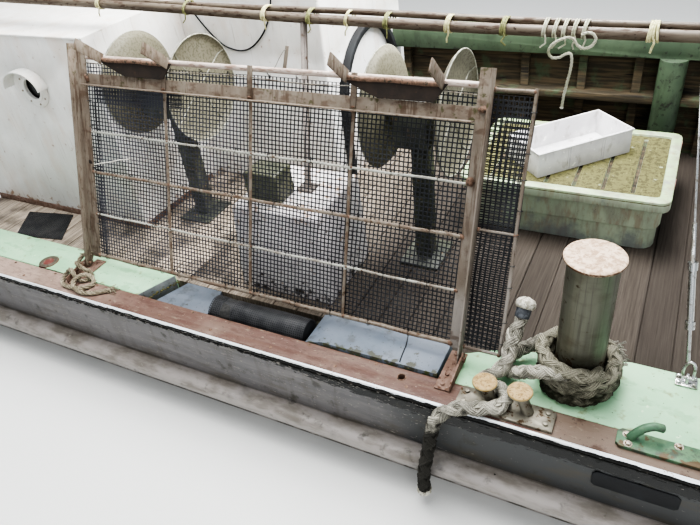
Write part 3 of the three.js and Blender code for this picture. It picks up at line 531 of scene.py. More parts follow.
def plankWood(name):
    # Larch planks, unpainted and trodden: grey, each its own tone, grained athwart, dark with damp in
    # blotches, and darkened to the right as painted shade
    plankPitch = 118
    material, tree, shader = newMaterial(name, Roughness=0.85)
    place = millimetres(tree)
    axes = addNode(tree, "SeparateXYZ", {}, {"Vector": place}).outputs
    number = addNode(tree, "Math", {"operation": "DIVIDE", 1: plankPitch}, {0: axes[0]})
    whole = addNode(tree, "Math", {"operation": "FLOOR"}, {0: number.outputs[0]})
    tone = addNode(tree, "TexWhiteNoise", {"noise_dimensions": "1D"}, {"W": whole.outputs[0]})
    shifted = addNode(tree, "VectorMath", {"operation": "ADD"}, {0: place, 1: tone.outputs["Color"]})
    stretched = addNode(tree, "Mapping", {"Scale": (1 / 7, 1 / 260, 1 / 60)}, {"Vector": shifted.outputs[0]})
    grain = addNode(tree, "TexNoise", {"Scale": 1.0, "Detail": 6.0, "Roughness": 0.7},
                    {"Vector": stretched.outputs[0]})
    colours = addNode(tree, "ValToRGB", {}, {"Fac": grain.outputs["Fac"]})
    ramp = colours.color_ramp
    ramp.elements[0].position, ramp.elements[0].color = 0.3, linear("#625749")
    ramp.elements[1].position, ramp.elements[1].color = 0.72, linear("#ccbfb1")
    ramp.elements.new(0.5).color = linear("#a49787")
    shade = addNode(tree, "MapRange", {"To Min": 0.7, "To Max": 1.2}, {"Value": tone.outputs["Value"]})
    tinted = addNode(tree, "Mix", {"data_type": "RGBA", "blend_type": "MULTIPLY", 0: 1.0},
                     {6: colours.outputs["Color"], 7: shade.outputs[0]})
    blotch = addNode(tree, "Mapping", {"Scale": (1 / 140, 1 / 140, 1 / 140)}, {"Vector": place})
    damp = addNode(tree, "TexNoise", {"Scale": 1.0, "Detail": 5.0}, {"Vector": blotch.outputs[0]})
    dampMask = addNode(tree, "MapRange", {"From Min": 0.48, "From Max": 0.64, "To Max": 0.64},
                       {"Value": damp.outputs["Fac"]})
    # Painted shade: darker towards the right end
    shadedEnd = addNode(tree, "MapRange", {"From Min": 500, "From Max": 1300, "To Max": 0.92},
                     {"Value": axes[0]})
    dampAndShade = addNode(tree, "Math", {"operation": "MAXIMUM"}, {0: dampMask.outputs[0], 1: shadedEnd.outputs[0]})
    final = addNode(tree, "Mix", {"data_type": "RGBA", 7: linear("#1d150e")},
                    {0: dampAndShade.outputs[0], 6: tinted.outputs[2]})
    bump = addNode(tree, "Bump", {"Distance": 0.001, "Strength": 0.8}, {"Height": grain.outputs["Fac"]})
    tree.links.new(final.outputs[2], shader.inputs["Base Color"])
    tree.links.new(bump.outputs[0], shader.inputs["Normal"])
    return material


def ropeFibre(name, pale, dark, moss, mossBelow):
    # Laid synthetic fibre, greyed by weather: yarns show as fine stripes along each strand's own UV
    material, tree, shader = newMaterial(name, Roughness=0.9)
    yarns = addNode(tree, "TexCoord").outputs["UV"]
    lines = addNode(tree, "Mapping", {"Scale": (1.0, 7.0, 1.0)}, {"Vector": yarns})
    stripes = addNode(tree, "TexNoise", {"Scale": 5.0, "Detail": 4.0, "Roughness": 0.75},
                      {"Vector": lines.outputs[0]})
    place = millimetres(tree)
    blotchPlace = addNode(tree, "Mapping", {"Scale": (1 / 45,) * 3}, {"Vector": place})
    blotch = addNode(tree, "TexNoise", {"Scale": 1.0, "Detail": 4.0}, {"Vector": blotchPlace.outputs[0]})
    axes = addNode(tree, "SeparateXYZ", {}, {"Vector": place}).outputs
    low = addNode(tree, "MapRange", {"From Min": mossBelow[1], "From Max": mossBelow[0], "To Max": 0.5},
                  {"Value": axes[2]})
    raised = addNode(tree, "Math", {"operation": "ADD"}, {0: blotch.outputs["Fac"], 1: low.outputs[0]})
    green = addNode(tree, "MapRange", {"From Min": 0.52, "From Max": 0.78}, {"Value": raised.outputs[0]})
    sharp = addNode(tree, "MapRange", {"From Min": 0.44, "From Max": 0.55}, {"Value": stripes.outputs["Fac"]})
    striped = addNode(tree, "Mix", {"data_type": "RGBA", 6: linear(dark), 7: linear(pale)},
                      {0: sharp.outputs[0]})
    grown = addNode(tree, "Mix", {"data_type": "RGBA", 7: linear(moss)},
                    {0: green.outputs[0], 6: striped.outputs[2]})
    bump = addNode(tree, "Bump", {"Distance": 0.004}, {"Height": stripes.outputs["Fac"]})
    tree.links.new(grown.outputs[2], shader.inputs["Base Color"])
    tree.links.new(bump.outputs[0], shader.inputs["Normal"])
    return material


larchPlanks = plankWood("larchPlanks")
coilFibre = ropeFibre("coilFibre", "#a39f8c", "#2d2b23", "#2b2a1a", (-10, 100))
leadFibre = ropeFibre("leadFibre", "#c9c5b6", "#37342b", "#2f2d27", (-160, 46))
lashingFibre = ropeFibre("lashingFibre", "#b3a992", "#564d3e", "#4d4634", (-30, 10))
bowFibre = ropeFibre("bowFibre", "#dedccb", "#a9a98c", "#8f9470", (600, 900))


# Shapes
def finished(obj, name, material, body="section", nodes=()):
    # Names and paints a piece, and says which body it rides on and which frame nodes it replaces
    obj.name = name
    obj.data.name = name
    obj.data.materials.clear()
    obj.data.materials.append(material)
    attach(obj, body)
    if nodes:
        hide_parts(*nodes)
    obj.select_set(False)
    return obj


def picked(*objects):
    # Selects these alone, the first one active
    bpy.ops.object.select_all(action="DESELECT")
    for obj in objects:
        obj.select_set(True)
    bpy.context.view_layer.objects.active = objects[0]


def applied(obj, kind, **settings):
    picked(obj)
    bpy.ops.object.modifier_add(type=kind)
    modifier = obj.modifiers[-1]
    for key, value in settings.items():
        setattr(modifier, key, value)
    bpy.ops.object.modifier_apply(modifier=modifier.name)


def settled():
    # Puts the active object's place into its mesh, with its faces outwards
    obj = bpy.context.object
    bpy.ops.object.transform_apply(location=True, rotation=True, scale=True)
    bpy.ops.object.mode_set(mode="EDIT")
    bpy.ops.mesh.select_all(action="SELECT")
    bpy.ops.mesh.remove_doubles(threshold=0.00001)
    bpy.ops.mesh.normals_make_consistent(inside=False)
    bpy.ops.object.mode_set(mode="OBJECT")
    bpy.ops.object.shade_smooth_by_angle(angle=math.radians(35))
    return obj


def joined(objects):
    # One object out of several
    picked(*objects)
    bpy.ops.object.join()
    return bpy.context.object


def copies(original, places):
    # The same piece at each of these places, each with its own mesh
    made = []
    for place in places:
        twin = original.copy()
        twin.data = original.data.copy()
        twin.data.transform(place)
        bpy.context.scene.collection.objects.link(twin)
        made.append(twin)
    bpy.data.objects.remove(original)
    return made


def turnFromUp(direction):
    # The turn that lays an upright piece along a direction
    return Vector((0, 0, 1)).rotation_difference(Vector(direction).normalized()).to_matrix().to_4x4()


def turnedShape(profile, sides, filled=True):
    # Rings are extruded and resized along a profile of (radius, height) in millimetres
    radius, height = profile[0]
    bpy.ops.mesh.primitive_circle_add(vertices=sides, radius=radius / 1000, location=(0, 0, height / 1000))
    bpy.ops.object.transform_apply(location=True)
    bpy.ops.object.mode_set(mode="EDIT")
    bpy.ops.mesh.select_all(action="SELECT")
    for r, h in profile[1:]:
        bpy.ops.mesh.extrude_region_move(TRANSFORM_OT_translate={"value": (0, 0, (h - height) / 1000)})
        bpy.ops.transform.resize(value=(r / radius, r / radius, 1), center_override=(0, 0, h / 1000))
        radius, height = r, h
    if filled:
        bpy.ops.mesh.select_all(action="SELECT")
        bpy.ops.mesh.fill_holes(sides=0)
    bpy.ops.object.mode_set(mode="OBJECT")
    return settled()


def turnedAt(profile, sides, place, lean=(0, 0, 1), filled=True):
    # A turned piece that stands on a place in millimetres, along a direction
    obj = turnedShape(profile, sides, filled)
    obj.data.transform(Matrix.Translation(at(*place)) @ turnFromUp(lean))
    return obj


def block(low, high, bevel=2.0):
    # A cube between two corners in millimetres, with worn edges
    a, b = at(*low), at(*high)
    bpy.ops.mesh.primitive_cube_add(size=1, location=(a + b) / 2)
    obj = bpy.context.object
    obj.scale = b - a
    bpy.ops.object.transform_apply(location=True, rotation=True, scale=True)
    if bevel:
        applied(obj, "BEVEL", width=bevel / 1000, segments=2, limit_method="ANGLE")
    return settled()


def blockOn(place, low, high, bevel):
    # The same, with its corners counted from a place that may be turned
    obj = block(low, high, bevel)
    obj.data.transform(place @ Matrix.Translation(-at(0, 0, 0)))
    return obj


def flatFace(points):
    # One face with its corners at points in the row frame
    bpy.ops.mesh.primitive_circle_add(vertices=len(points), radius=1, fill_type="NGON")
    obj = bpy.context.object
    for vertex, point in zip(obj.data.vertices, points):
        vertex.co = point
    return obj


def slab(points, along, bevel):
    # A flat face extruded along a direction, with worn edges
    obj = flatFace(points)
    bpy.ops.object.mode_set(mode="EDIT")
    bpy.ops.mesh.select_all(action="SELECT")
    bpy.ops.mesh.extrude_region_move(TRANSFORM_OT_translate={"value": along})
    bpy.ops.object.mode_set(mode="OBJECT")
    applied(obj, "BEVEL", width=bevel / 1000, segments=2, limit_method="ANGLE")
    return settled()


def hoop(radius, thick, segments, sides):
    # A ring of round wire about the upright axis, in millimetres
    bpy.ops.mesh.primitive_torus_add(major_segments=segments, minor_segments=sides,
                                     major_radius=radius / 1000, minor_radius=thick / 1000)
    return bpy.context.object


def lump(place, size, squash, rough=0.18, divisions=2):
    # A weld bead, clod or tuft: a small ball knocked out of round
    bpy.ops.mesh.primitive_ico_sphere_add(subdivisions=divisions, radius=size / 1000, location=(0, 0, 0))
    obj = bpy.context.object
    for vertex in obj.data.vertices:
        vertex.co *= 1 + chance.uniform(-rough, rough)
        vertex.co = Vector([c * s for c, s in zip(vertex.co, squash)]) + place
    bpy.ops.object.shade_smooth()
    return obj


def tube(points, radius, resolution=5, swell=None):
    # A round bar along points in the row frame, fatter where the swell at a point says so
    curve = bpy.data.curves.new("tube", "CURVE")
    curve.dimensions = "3D"
    curve.bevel_depth = radius / 1000
    curve.bevel_resolution = resolution
    curve.use_fill_caps = True
    spline = curve.splines.new("POLY")
    spline.points.add(len(points) - 1)
    for i, point in enumerate(points):
        spline.points[i].co = (*point, 1)
        spline.points[i].radius = swell[i] if swell else 1
    obj = bpy.data.objects.new("tube", curve)
    bpy.context.scene.collection.objects.link(obj)
    picked(obj)
    bpy.ops.object.convert(target="MESH")
    made = bpy.context.object
    bpy.ops.object.shade_smooth_by_angle(angle=math.radians(40))
    return made


def evenly(line, step):
    # The same line with its points at even steps
    lengths = [0.0]
    for a, b in zip(line, line[1:]):
        lengths.append(lengths[-1] + (b - a).length)
    count = max(2, round(lengths[-1] / step))
    even, i = [], 0
    for k in range(count + 1):
        want = lengths[-1] * k / count
        while i < len(line) - 2 and lengths[i + 1] < want:
            i += 1
        span = max(lengths[i + 1] - lengths[i], 1e-9)
        even.append(line[i].lerp(line[i + 1], (want - lengths[i]) / span))
    return even


def smoothRoute(points, step):
    # Centripetal Catmull-Rom through the points, at even steps in millimetres
    knots = [Vector(p) for p in points]
    knots = [2 * knots[0] - knots[1]] + knots + [2 * knots[-1] - knots[-2]]
    line = []
    for a, b, c, d in zip(knots, knots[1:], knots[2:], knots[3:]):
        t1 = (b - a).length ** 0.5
        t2 = t1 + (c - b).length ** 0.5
        t3 = t2 + (d - c).length ** 0.5
        for i in range(12):
            t = t1 + (t2 - t1) * i / 12
            ab = a * ((t1 - t) / t1) + b * (t / t1)
            bc = b * ((t2 - t) / (t2 - t1)) + c * ((t - t1) / (t2 - t1))
            cd = c * ((t3 - t) / (t3 - t2)) + d * ((t - t2) / (t3 - t2))
            abc = ab * ((t2 - t) / t2) + bc * (t / t2)
            bcd = bc * ((t3 - t) / (t3 - t1)) + cd * ((t - t1) / (t3 - t1))
            line.append(abc * ((t2 - t) / (t2 - t1)) + bcd * ((t - t1) / (t2 - t1)))
    line.append(knots[-2])
    return evenly(line, step)


def swellAt(levels, distance):
    # How much fatter a rope is at a distance along it, between levels of (distance, times)
    before = [level for level in levels if level[0] <= distance] or [levels[0]]
    after = [level for level in levels if level[0] > distance] or [levels[-1]]
    (a, wideA), (b, wideB) = before[-1], after[0]
    return wideA + (wideB - wideA) * (distance - a) / (b - a) if b > a else wideB


def rope(line, kind):
    # Strands wound about a line of points in millimetres. A plaited rope has two pairs of strands
    # each way, which pass over and under; a laid one has all its strands the same way.
    out = Vector((0, 0, 1)) if abs((line[1] - line[0]).normalized().z) < 0.9 else Vector((0, 1, 0))
    frames = []
    for i, point in enumerate(line):
        along = (line[min(i + 1, len(line) - 1)] - line[max(i - 1, 0)]).normalized()
        out = (out - along * out.dot(along)).normalized()
        frames.append((point, out.copy(), along.cross(out)))
    step = (line[1] - line[0]).length
    swell = [swellAt(kind.get("swell", ((0, 1), (1, 1))), i * step) for i in range(len(line))]
    parts = [tube([at(*p) for p in line], kind["core"], resolution=1, swell=swell)]
    for way, phases in kind["strands"]:
        for phase in phases:
            course = []
            for i, (point, across, over) in enumerate(frames):
                turn = 2 * math.pi * i * step / kind["pitch"]
                angle = way * turn + phase
                ride = swell[i] * (kind["middle"] + kind["weave"] * way * math.cos(2 * turn))
                spot = point + (across * math.cos(angle) + over * math.sin(angle)) * ride
                course.append(at(*spot))
            parts.append(tube(course, kind["strand"], resolution=1, swell=swell))
    return joined(parts)


def layCord(name, line, kind, material, nodes=()):
    # A cord along a line in millimetres, twisted where its kind has strands
    points = [at(*p) for p in line]
    shape = rope(line, kind) if "strands" in kind else tube(points, kind["diameter"] / 2)
    made = finished(shape, name, material, nodes=nodes)


def whipping(point, away, radius, name, material):
    # The bound end of a rope: a rounded knob of melted and wrapped fibre, out along its last stretch
    profile = [(0.94, 0), (1.06, 4), (1.1, 11), (1.04, 18), (0.86, 24), (0.56, 28), (0.24, 30)]
    knob = turnedShape([(r * radius, h * radius / 24) for r, h in profile], 24)
    for vertex in knob.data.vertices:
        vertex.co *= 1 + chance.uniform(-0.05, 0.05)
    knob.data.transform(Matrix.Translation(at(*point)) @ turnFromUp(away))
    return finished(knob, name, material)


def fray(name, places, yarn, material):
    # Loose yarns: thin bent strands that start about a place and run out along a direction
    yarns = []
    reach, thick = yarn["reach"], yarn["thick"]
    for place, away in places:
        for i in range(yarn["count"]):
            start = Vector(place) + Vector([chance.gauss(0, thick * 2.2) for k in range(3)])
            bend = Vector(away) * chance.uniform(0.5, 1) + Vector([chance.gauss(0, 0.5) for k in range(3)])
            drop = Vector((0, 0, -chance.uniform(0, 0.35) * reach))
            line = [start, start + bend * reach * 0.5, start + bend * reach * 0.9 + drop]
            points = [at(p.x, p.y, max(p.z, 3)) for p in line]
            yarns.append(tube(points, thick * chance.uniform(0.5, 1), resolution=0))
    finished(joined(yarns), name, material)


print("cords")
# The hawser is an eight-strand plait, two pairs each way; each pair is drawn as three thinner strands
plaitPhases = (-0.5, 0, 0.5, math.pi - 0.5, math.pi, math.pi + 0.5)
hawser = {
    "diameter": 48, "pitch": 126, "middle": 16.4, "weave": 2.6, "strand": 6.2, "core": 16, "step": 9,
    "strands": [(1, plaitPhases), (-1, plaitPhases)],
    "lead": [
        (2004, 322, 214), (2000, 296, 180), (1989, 262, 142), (1986, 226, 104), (1984, 190, 70),
        (1962, 166, 48), (1938, 150, 33), (1922, 130, 27), (1926, 113, 33), (1948, 108, 35.3),
        (1975, 109, 35.3), (2000, 99, 35.3), (2015, 77, 35.3), (2014, 52, 35.3), (2000, 28, 35.3),
        (1972, 13, 35.3), (1930, -4, 33), (1880, -18, 27), (1840, -38, 8), (1815, -46, -30),
        (1803, -52, -90), (1796, -68, -160), (1791, -96, -228), (1788, -103, -290), (1787, -101, -345),
    ],
    # The lead is opened up where it bends round the horns
    "leadSwell": ((0, 0.92), (40, 0.95), (90, 1.16), (300, 1.1), (420, 1.06), (760, 1.06), (840, 1)),
    "bight": [
        (2126, 342, 104), (2092, 344, 88), (2046, 322, 64), (2000, 284, 44), (1972, 244, 30),
        (1974, 208, 28), (2008, 187, 42), (2050, 169, 74), (2095, 157, 104), (2140, 150, 124),
        (2184, 150, 132),
    ],
    "coil": {"x": 2204, "y": 258, "radius": 109, "from": 24.5, "to": 141, "turns": 3.3, "start": -2.6,
             "slack": 12, "slackAt": math.pi, "slackOver": 0.95, "uneven": 2, "perTurn": 48},
    "topKnob": 31, "tailKnob": 24, "tape": [(22, -34), (24.5, -30), (25.5, -16), (25, -2), (22, 4)],
}
coil = hawser["coil"]
coilLine = []
for i in range(int(coil["turns"] * coil["perTurn"]) + 1):
    # The turns climb the bollard, and the last one hangs slack towards the fairlead
    share = i / (coil["turns"] * coil["perTurn"])
    angle = coil["start"] + 2 * math.pi * coil["turns"] * share
    reach = coil["radius"] + coil["uneven"] * math.sin(angle * 2.3)
    if share > 1 - 1 / coil["turns"]:
        off = abs((angle - coil["slackAt"] + math.pi) % (2 * math.pi) - math.pi)
        reach += coil["slack"] * 0.5 * (1 + math.cos(math.pi * min(1, off / coil["slackOver"])))
    rise = coil["from"] + (coil["to"] - coil["from"]) * min(1, share * 1.06)
    coilLine.append(Vector((coil["x"] + reach * math.cos(angle), coil["y"] + reach * math.sin(angle), rise)))
coilLine = evenly(coilLine, hawser["step"])
leadLine = smoothRoute(hawser["lead"], hawser["step"])
# Melted and whipped ends: pale grey lumps with dark gaps
paleWhipping = weathered("whippedFibre", "#b5b2a6", [
    {"size": 14, "above": 0.5, "soft": 0.08, "colour": "#8a8678"},
    {"size": 6, "above": 0.6, "soft": 0.05, "colour": "#dcd9d0"},
    {"size": 7, "above": 0.64, "soft": 0.05, "colour": "#4a473d"},
], roughness=0.9, grainMm=3, grainDepth=0.8)
leadEnd = leadLine[0] - leadLine[2]
topKnob = whipping(leadLine[0], leadEnd, hawser["topKnob"], "hawserWhipping", paleWhipping)
topTape = finished(turnedAt(hawser["tape"], 24, leadLine[0], leadEnd), "hawserTape", clothTape)
tailKnob = whipping(leadLine[-1], leadLine[-1] - leadLine[-3], hawser["tailKnob"], "hawserTailWhipping",
                    paleWhipping)
layCord("hawserTurns", coilLine, hawser, coilFibre, ("hawser_coil", "hawser_loop"))
opened = {**hawser, "swell": hawser["leadSwell"]}
layCord("hawserLead", leadLine, opened, leadFibre, ("hawser_lead",))
bightLine = smoothRoute(hawser["bight"], hawser["step"])
layCord("hawserBight", bightLine, hawser, leadFibre)

thirds = (0, 2 * math.pi / 3, 4 * math.pi / 3)
lashing = {
    "diameter": 21, "pitch": 66, "middle": 5.6, "weave": 0, "strand": 5.3, "core": 3.2, "step": 4,
    "strands": [(1, thirds)],
    "route": [
        (-24, 226, 58), (-32, 192, 56), (-27, 160, 44), (-9, 140, 60), (20, 138, 38), (50, 148, 18),
        (78, 128, 11), (70, 96, 11), (40, 84, 17), (8, 92, 42), (-9, 100, 52), (-34, 96, 34), (-46, 70, 12),
        (-20, 42, 11), (30, 33, 11), (80, 38, 11), (120, 62, 11), (128, 92, 13), (100, 112, 26),
        (62, 106, 34), (42, 66, 32), (70, 30, 24), (120, 20, 14), (170, 32, 11), (210, 58, 11),
        (240, 82, 11),
    ],
    "yarn": {"count": 16, "reach": 34, "thick": 2.4},
    "frayed": (((240, 82, 11), (0.8, 0.4, 0)), ((-24, 226, 60), (0.2, 0.1, 0.7)),
               ((-22, 216, 58), (-0.3, 0.2, 0.5))),
}
lashLine = smoothRoute(lashing["route"], lashing["step"])
layCord("screenLashing", lashLine, lashing, lashingFibre, ("lashing",))
fray("lashingFray", lashing["frayed"], lashing["yarn"], lashingFibre)
coilFray = {
    "yarn": {"count": 30, "reach": 26, "thick": 4.6},
    "frayed": (((2306, 322, 104), (0.4, 0.2, 0.1)), ((2314, 308, 80), (0.4, 0.0, -0.5)),
               ((2298, 336, 116), (0.4, 0.3, 0.0)), ((2310, 318, 56), (0.3, 0.1, -0.5))),
}
fray("hawserFray", coilFray["frayed"], coilFray["yarn"], leadFibre)

railRope = {
    "diameter": 10, "pitch": 34, "middle": 2.5, "weave": 0, "strand": 2.5, "core": 1.5, "step": 3,
    "strands": [(1, thirds)], "knob": 5.5,
    "route": [
        (2034, 731.6, 994), (2034.6, 724, 994.6), (2048, 719, 1002), (2064, 718, 1000), (2075, 718, 984),
        (2066, 716, 964), (2044, 714, 956), (2024, 712, 966), (2012, 710, 984), (1996, 706, 990),
        (1972, 702, 982), (1950, 700, 966), (1942, 698, 946), (1954, 696, 930), (1978, 694, 932),
        (1996, 692, 944), (2010, 690, 946), (2016, 690, 928), (2014, 692, 890), (2008, 694, 850),
        (2002, 696, 810), (1999, 697, 770),
    ],
}
bowLine = smoothRoute(railRope["route"], railRope["step"])
bowKnob = whipping(bowLine[-1], bowLine[-1] - bowLine[-3], railRope["knob"], "railRopeKnot", paleWhipping)
layCord("railRopeBow", bowLine, railRope, bowFibre, ("rail_rope",))
wallCable = {
    "diameter": 8, "step": 6,
    "route": [
        (20, 1246, 1010), (48, 1246, 923), (85, 1246, 861), (164, 1246, 764), (225, 1246, 715),
        (289, 1246, 694), (345, 1246, 694), (400, 1246, 715), (472, 1246, 775), (523, 1246, 847),
        (550, 1246, 916), (566, 1246, 1010),
    ],
}
cableLine = smoothRoute(wallCable["route"], wallCable["step"])
layCord("wallCable", cableLine, wallCable, mouldedRubber, ("wall_cable",))

print("worn copies of the frame's nodes")


def dressed(node, name, material, body, bevel):
    # A merged copy of a node's mesh, with its edges rounded by wear and paint
    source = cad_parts[node]
    obj = bpy.data.objects.new(name, source.data.copy())
    bpy.context.scene.collection.objects.link(obj)
    picked(obj)
    bpy.ops.object.mode_set(mode="EDIT")
    bpy.ops.mesh.select_all(action="SELECT")
    bpy.ops.mesh.remove_doubles(threshold=0.00002)
    bpy.ops.mesh.dissolve_limited(angle_limit=math.radians(0.6))
    bpy.ops.object.mode_set(mode="OBJECT")
    if bevel:
        applied(obj, "BEVEL", width=bevel / 1000, segments=2, limit_method="ANGLE", use_clamp_overlap=True,
                angle_limit=math.radians(40))
    bpy.ops.object.shade_smooth_by_angle(angle=math.radians(40))
    finished(obj, name, material, body, nodes=(node,))


# Node, piece, finish, and how wide its edges are worn in millimetres
wornNodes = {
    "section": [
        ("gunwale_cap", "gunwaleCap", capPrimer, 2.5),
        ("edge_strip", "edgeStrip", edgeStainless, 0),
        ("hull_side", "hullSide", topsideEnamel, 2),
        ("rub_rail", "rubRail", topsideEnamel, 5),
        ("side_pad", "sidePad", mouldedRubber, 1.5),
        ("deck_left", "deckLeft", deckEnamel, 4),
        ("deck_right", "deckRight", deckEnamel, 4),
        ("cover_left", "coverLeft", coverEnamel, 1.5),
        ("cover_right", "coverRight", coverEnamel, 1.5),
        ("deckhouse_casing", "deckhouseCasing", gelcoat, 12),
        ("deckhouse_wall", "deckhouseWall", gelcoat, 12),
        ("wall_arch", "wallArch", mouldedRubber, 4),
        ("machine_plinth", "machineCase", machineEnamel, 8),
        ("motor_box", "motorBox", oliveEnamel, 5),
        ("girders", "deckGirders", sawnTimber, 4),
        ("bulwark_frames", "bulwarkFrames", bulwarkTimber, 3),
        ("bulwark_cap", "bulwarkCap", bulwarkEnamelShaded, 6),
        ("fish_box", "fishBox", boxPlastic, 6),
        ("fish_tray", "fishTray", trayPlastic, 2),
        ("fairlead", "fairlead", fairleadSteel, 1.5),
        ("bronze_chock", "bronzeChock", verdigris, 3),
        ("pad_eye", "padEye", forgedStainless, 1.5),
        ("turnbuckle", "turnbuckle", forgedStainless, 0),
        ("reel_stand_left", "reelStandLeft", greasyPaint, 8),
        ("reel_stand_right", "reelStandRight", greasyPaint, 8),
        ("awning_post_left", "awningPostLeft", railPaint, 0),
        ("awning_post_middle", "awningPostMiddle", polePaint, 0),
        ("awning_post_right", "awningPostRight", railPaint, 0),
        ("bracket_left", "bracketLeft", rustedPlate, 1.2),
        ("bracket_right", "bracketRight", rustedPlate, 1.2),
    ],
    "screen": [
        ("screen_post_left", "screenPostLeft", angleIron, 1.3),
        ("screen_post_right", "screenPostRight", angleIron, 1.3),
        ("screen_angle", "screenAngle", angleIron, 1.2),
        ("screen_flat_1", "screenFlatOne", angleIron, 1),
        ("screen_flat_2", "screenFlatTwo", angleIron, 1),
        ("screen_flat_3", "screenFlatThree", angleIron, 1),
        ("screen_top_pipe", "screenTopPipe", pipePaint, 0),
    ],
}
for body, rows in wornNodes.items():
    for node, name, material, bevel in rows:
        dressed(node, name, material, body, bevel)

print("netting")
netting = {
    "x": (16, 1946), "h": (-3, 864), "pitch": 16.4, "strand": 4.0, "thick": 1.8, "y": 9.9, "bulge": 7.0,
    "bulgeTo": 860,
}


def meshGrid(wide, tall, pitch, strand):
    # A sheet of square meshes: every cell is inset and its middle deleted
    bpy.ops.mesh.primitive_grid_add(x_subdivisions=round(wide / pitch), y_subdivisions=round(tall / pitch),
                                    size=1)
    obj = bpy.context.object
    obj.scale = (wide / 1000, tall / 1000, 1)
    bpy.ops.object.transform_apply(scale=True)
    bpy.ops.object.mode_set(mode="EDIT")
    bpy.ops.mesh.select_all(action="SELECT")
    bpy.ops.mesh.inset(thickness=strand / 2000, use_individual=True)
    bpy.ops.mesh.delete(type="FACE")
    bpy.ops.object.mode_set(mode="OBJECT")
    return obj


def netOnScreen(name, spanX, spanH, inboard, slant=0.0, nodes=()):
    # The function inboard gives how far the net lies from the screen's plane
    (x0, x1), (h0, h1) = spanX, spanH
    obj = meshGrid(x1 - x0, h1 - h0, netting["pitch"], netting["strand"])
    for vertex in obj.data.vertices:
        x = (x0 + x1) / 2 + vertex.co.x * 1000
        h = (h0 + h1) / 2 + vertex.co.y * 1000
        # Its strands wander a few millimetres from square, and a piece may hang aslant
        x += 1.6 * math.sin(h / 61 + 0.7) + 1.2 * math.sin(x / 83 + h / 140) + slant * (h - h0)
        h += 1.8 * math.sin(x / 97 + 1.1) * math.sin(h / 75) - slant * (x - x0)
        vertex.co = onScreen(x, inboard(x, h), h)
    applied(obj, "SOLIDIFY", thickness=netting["thick"] / 1000, offset=0)
    return finished(obj, name, extrudedNet, "screen", nodes)


def mainHang(x, h):
    # The net bulges inboard between its four lines of ties
    low, high = netting["x"]
    across = math.sin(math.pi * (x - low) / (high - low) * 3) ** 2
    up = math.sin(math.pi * max(0, min(1, h / netting["bulgeTo"]))) ** 2
    return netting["y"] + netting["bulge"] * across * up


screenNet = netOnScreen("screenNet", netting["x"], netting["h"], mainHang, nodes=("screen_net",))
screenNet.visible_shadow = False  # its shadow on the deck is finer than the render can show
netOnScreen("screenNetSide", (1790, 1944), (6, 852), lambda x, h: 15.5 + 2.5 * math.sin(h / 90), 0.012)
netOnScreen("screenNetHem", (52, 86), (4, 700), lambda x, h: 14.5 + 2 * math.sin(h / 70 + x / 9), 0.006)
netOnScreen("screenNetFold", (70, 560), (700, 770), lambda x, h: 14.0 + 2.0 * math.sin(x / 40), -0.02)

print("screen bars")
bars = {
    "ends": (50.3, 1769.7), "cross": ((0, 8), (200, 4.5), (394, 6.5), (575, 4.5)), "sway": 1.6,
    "upright": (485, 906, 1338), "uprightR": 6.4, "uprightTop": 772.7,
}
side = {
    "from": 1820.3, "x": 1948, "foot": -6, "top": 888, "r": 6, "cross": ((0, 5.9), (430, 4.5), (878, 5.9)),
}


def swayed(i, k):
    # Old bars are no longer straight
    return bars["sway"] * math.sin(i * 0.9 + k * 2.1) * math.sin(i * 0.31 + k)


rodPieces = []
low, high = bars["ends"]
for k, (h, r) in enumerate(bars["cross"]):
    count = 40
    line = []
    for i in range(count + 1):
        x = low + (high - low) * i / count
        line.append(onScreen(x, 0.4 * swayed(i, k), h + swayed(i, k) * min(1, i, count - i)))
    rodPieces.append(tube(line, r, resolution=2))
for k, x in enumerate(bars["upright"]):
    line = [onScreen(x + 0.6 * swayed(i, k + 5), 0, bars["uprightTop"] * i / 20) for i in range(21)]
    rodPieces.append(tube(line, bars["uprightR"], resolution=2))
finished(joined(rodPieces), "screenRods", zincRod, "screen", nodes=("screen_rods",))
tall, wide = side["top"] - side["foot"], side["x"] - side["from"]
line = [onScreen(side["x"] + 1.5 * math.sin(i / 3), 0, side["foot"] + tall * i / 24) for i in range(25)]
sidePieces = [tube(line, side["r"], resolution=3)]
for h, r in side["cross"]:
    line = [onScreen(side["from"] + wide * i / 6, 0, h - 0.8 * math.sin(i)) for i in range(7)]
    sidePieces.append(tube(line, r, resolution=3))
finished(joined(sidePieces), "screenSideFrame", angleIron, "screen", nodes=("screen_side_frame",))

# Weld beads as x, y, h, size and squash along the screen
beads = []
for h, r in bars["cross"]:
    for x in (low - 1, high + 1):
        beads.append((x, -1, h, r + 4.5, (0.9, 0.7, 0.8)))
    for x in bars["upright"]:
        beads.append((x + 5, -4, h + 2, r + 1.5, (0.8, 0.6, 0.8)))
for x in bars["upright"]:
    beads.append((x, -3, 771, 9, (1, 0.8, 0.5)))
    beads.append((x, -6, 785, 8, (1.2, 0.6, 0.7)))
for h, r in side["cross"]:
    beads.append((1823, 0, h, 8, (0.9, 0.8, 1)))
    beads.append((1947, 0, h, 8.5, (1, 0.9, 0.9)))
beads.append((1778, -5, 583, 15, (1, 0.6, 1.2)))
beads.append((1797, -6, 815, 15, (1.3, 0.6, 0.7)))
beads.append((56, -5, 800, 13, (0.8, 0.6, 1.4)))
welds = [lump(onScreen(x, y, h), size, squash) for x, y, h, size, squash in beads]
finished(joined(welds), "screenWelds", weldScale, "screen")

